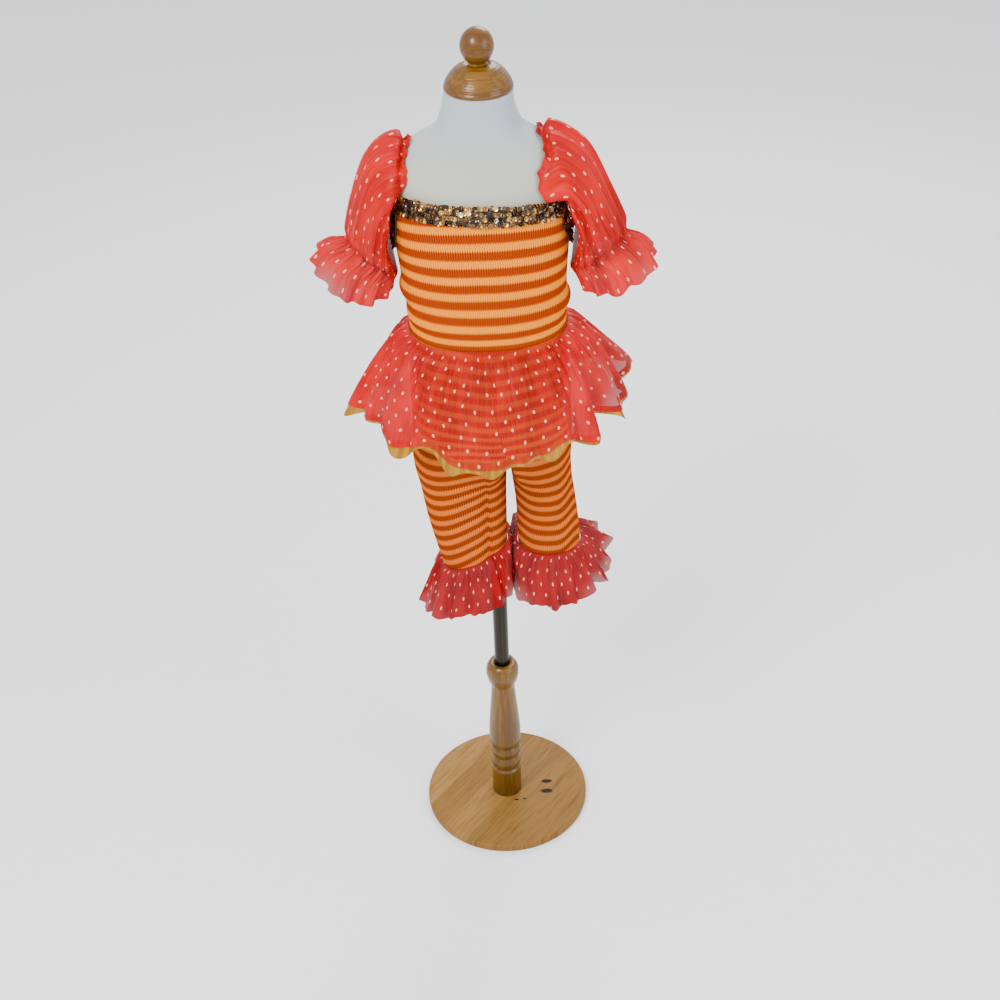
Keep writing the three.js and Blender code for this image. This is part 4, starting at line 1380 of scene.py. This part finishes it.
def camera():
    down, turn, roll = CAMERA_DOWN, CAMERA_TURN, CAMERA_ROLL
    level = math.cos(down)
    ahead = Vector((math.sin(turn) * level, math.cos(turn) * level, -math.sin(down)))
    right = Vector((math.cos(turn), -math.sin(turn), 0))
    up = right.cross(ahead)
    side = math.cos(roll) * right + math.sin(roll) * up
    top = -math.sin(roll) * right + math.cos(roll) * up
    data = bpy.data.cameras.new("camera")
    data.lens = LENS
    data.sensor_width = 36
    data.clip_end = 50
    made = in_scene("camera", data)
    turned = Matrix((side, top, -ahead)).transposed().to_4x4()
    made.matrix_world = Matrix.Translation(CAMERA_PLACE) @ turned
    bpy.context.scene.camera = made


def area_light(name, place, target, size, power, warmth=(1, 1, 1)):
    data = bpy.data.lights.new(name, "AREA")
    data.shape = "DISK"
    data.size = size
    data.energy = power
    data.color = warmth
    made = in_scene(name, data)
    made.location = place
    made.rotation_euler = (Vector(target) - Vector(place)).to_track_quat("-Z", "Y").to_euler()


def studio():
    middle = (0, 0, 0.85)
    area_light("key", (-1.3, -1.9, 2.9), middle, 1.3, 124, (1, 0.98, 0.95))
    area_light("fill", (2.2, -1.5, 1.7), middle, 1.8, 40, (0.95, 0.98, 1))
    area_light("rim", (0.6, 2.0, 2.4), middle, 1.4, 52)
    world = bpy.data.worlds.new("studio")
    world.use_nodes = True
    back = world.node_tree.nodes["Background"]
    back.inputs[0].default_value = (0.95, 0.96, 1.0, 1)
    back.inputs[1].default_value = 1.45
    bpy.context.scene.world = world
    mesh = bpy.data.meshes.new("floor")
    corners = [(-FLOOR, -FLOOR, 0), (FLOOR, -FLOOR, 0), (FLOOR, FLOOR, 0), (-FLOOR, FLOOR, 0)]
    mesh.from_pydata(corners, [], [(0, 1, 2, 3)])
    mesh.materials.append(plain_floor())
    floor = in_scene("floor", mesh)


def place(piece, slot, *nodes):
    """Puts a finished piece in its CAD nodes' place."""
    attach(piece, "root")
    if nodes:
        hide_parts(*nodes)
    return piece


def costume():
    body_knit = striped_knit("striped knit", 21.4, (160, 54, 3), (246, 140, 16))
    # The legs' knit has its own stripe pair, and its colours are painted darker than the bodice's
    # as painted shade under the skirt
    shaded_leg_knit = striped_knit("striped knit of the legs in painted shade", 17.8, (138, 54, 14), (212, 104, 34))
    # Each organza's deep tone shows in random clouds and, as painted shade, in the troughs of its
    # creases
    sheer = dotted_organza("dotted organza", (196, 8, 8), (150, 4, 8))
    full_sheer = dotted_organza("dotted organza, full", (152, 0, 6), (108, 0, 4))
    satin, foil, tape = gold_satin(), sequin_foil(), tape_cloth()

    front = place(bodice("front_bodice", 180, 360, body_knit), "striped_knit", "bodice_front")
    back = place(bodice("back_bodice", 0, 180, body_knit), "striped_knit", "bodice_back")
    braid = place(braid_tape(tape), "sequins", "sequin_braid")
    sequins = place(sequin_rows(foil), "sequins")
    for side in ("right", "left"):
        leg = place(legging(side, shaded_leg_knit), "striped_knit", f"legging_{side}")
        arm = place(sleeve(side, sheer), "dotted_organza", f"sleeve_{side}")
        frill = place(ruffle(side, full_sheer), "dotted_organza", f"leg_ruffle_{side}")
    wrap = place(skirt(sheer), "dotted_organza", "skirt")
    band = place(hem_band(satin), "gold_satin", "skirt_hem_band")


def stand():
    honey = wood("turned wood", 2, (108, 76, 14), (86, 56, 6), (58, 34, 4))
    cap_wood = wood("turned wood of the cap", 0, (112, 74, 8), (88, 54, 4), (62, 34, 4))
    place(stand_base(pine_boards()), "base_wood", "stand_base")
    place(stand_column(honey), "turned_wood", "stand_column")
    place(stand_pole(brushed_steel()), "pole_steel", "stand_pole")
    place(torso(form_jersey()), "form_jersey", "form_torso")
    place(neck_cap(cap_wood), "turned_wood", "form_neck_cap")
    place(finial(cap_wood), "turned_wood", "form_finial")


camera()
studio()
costume()
stand()
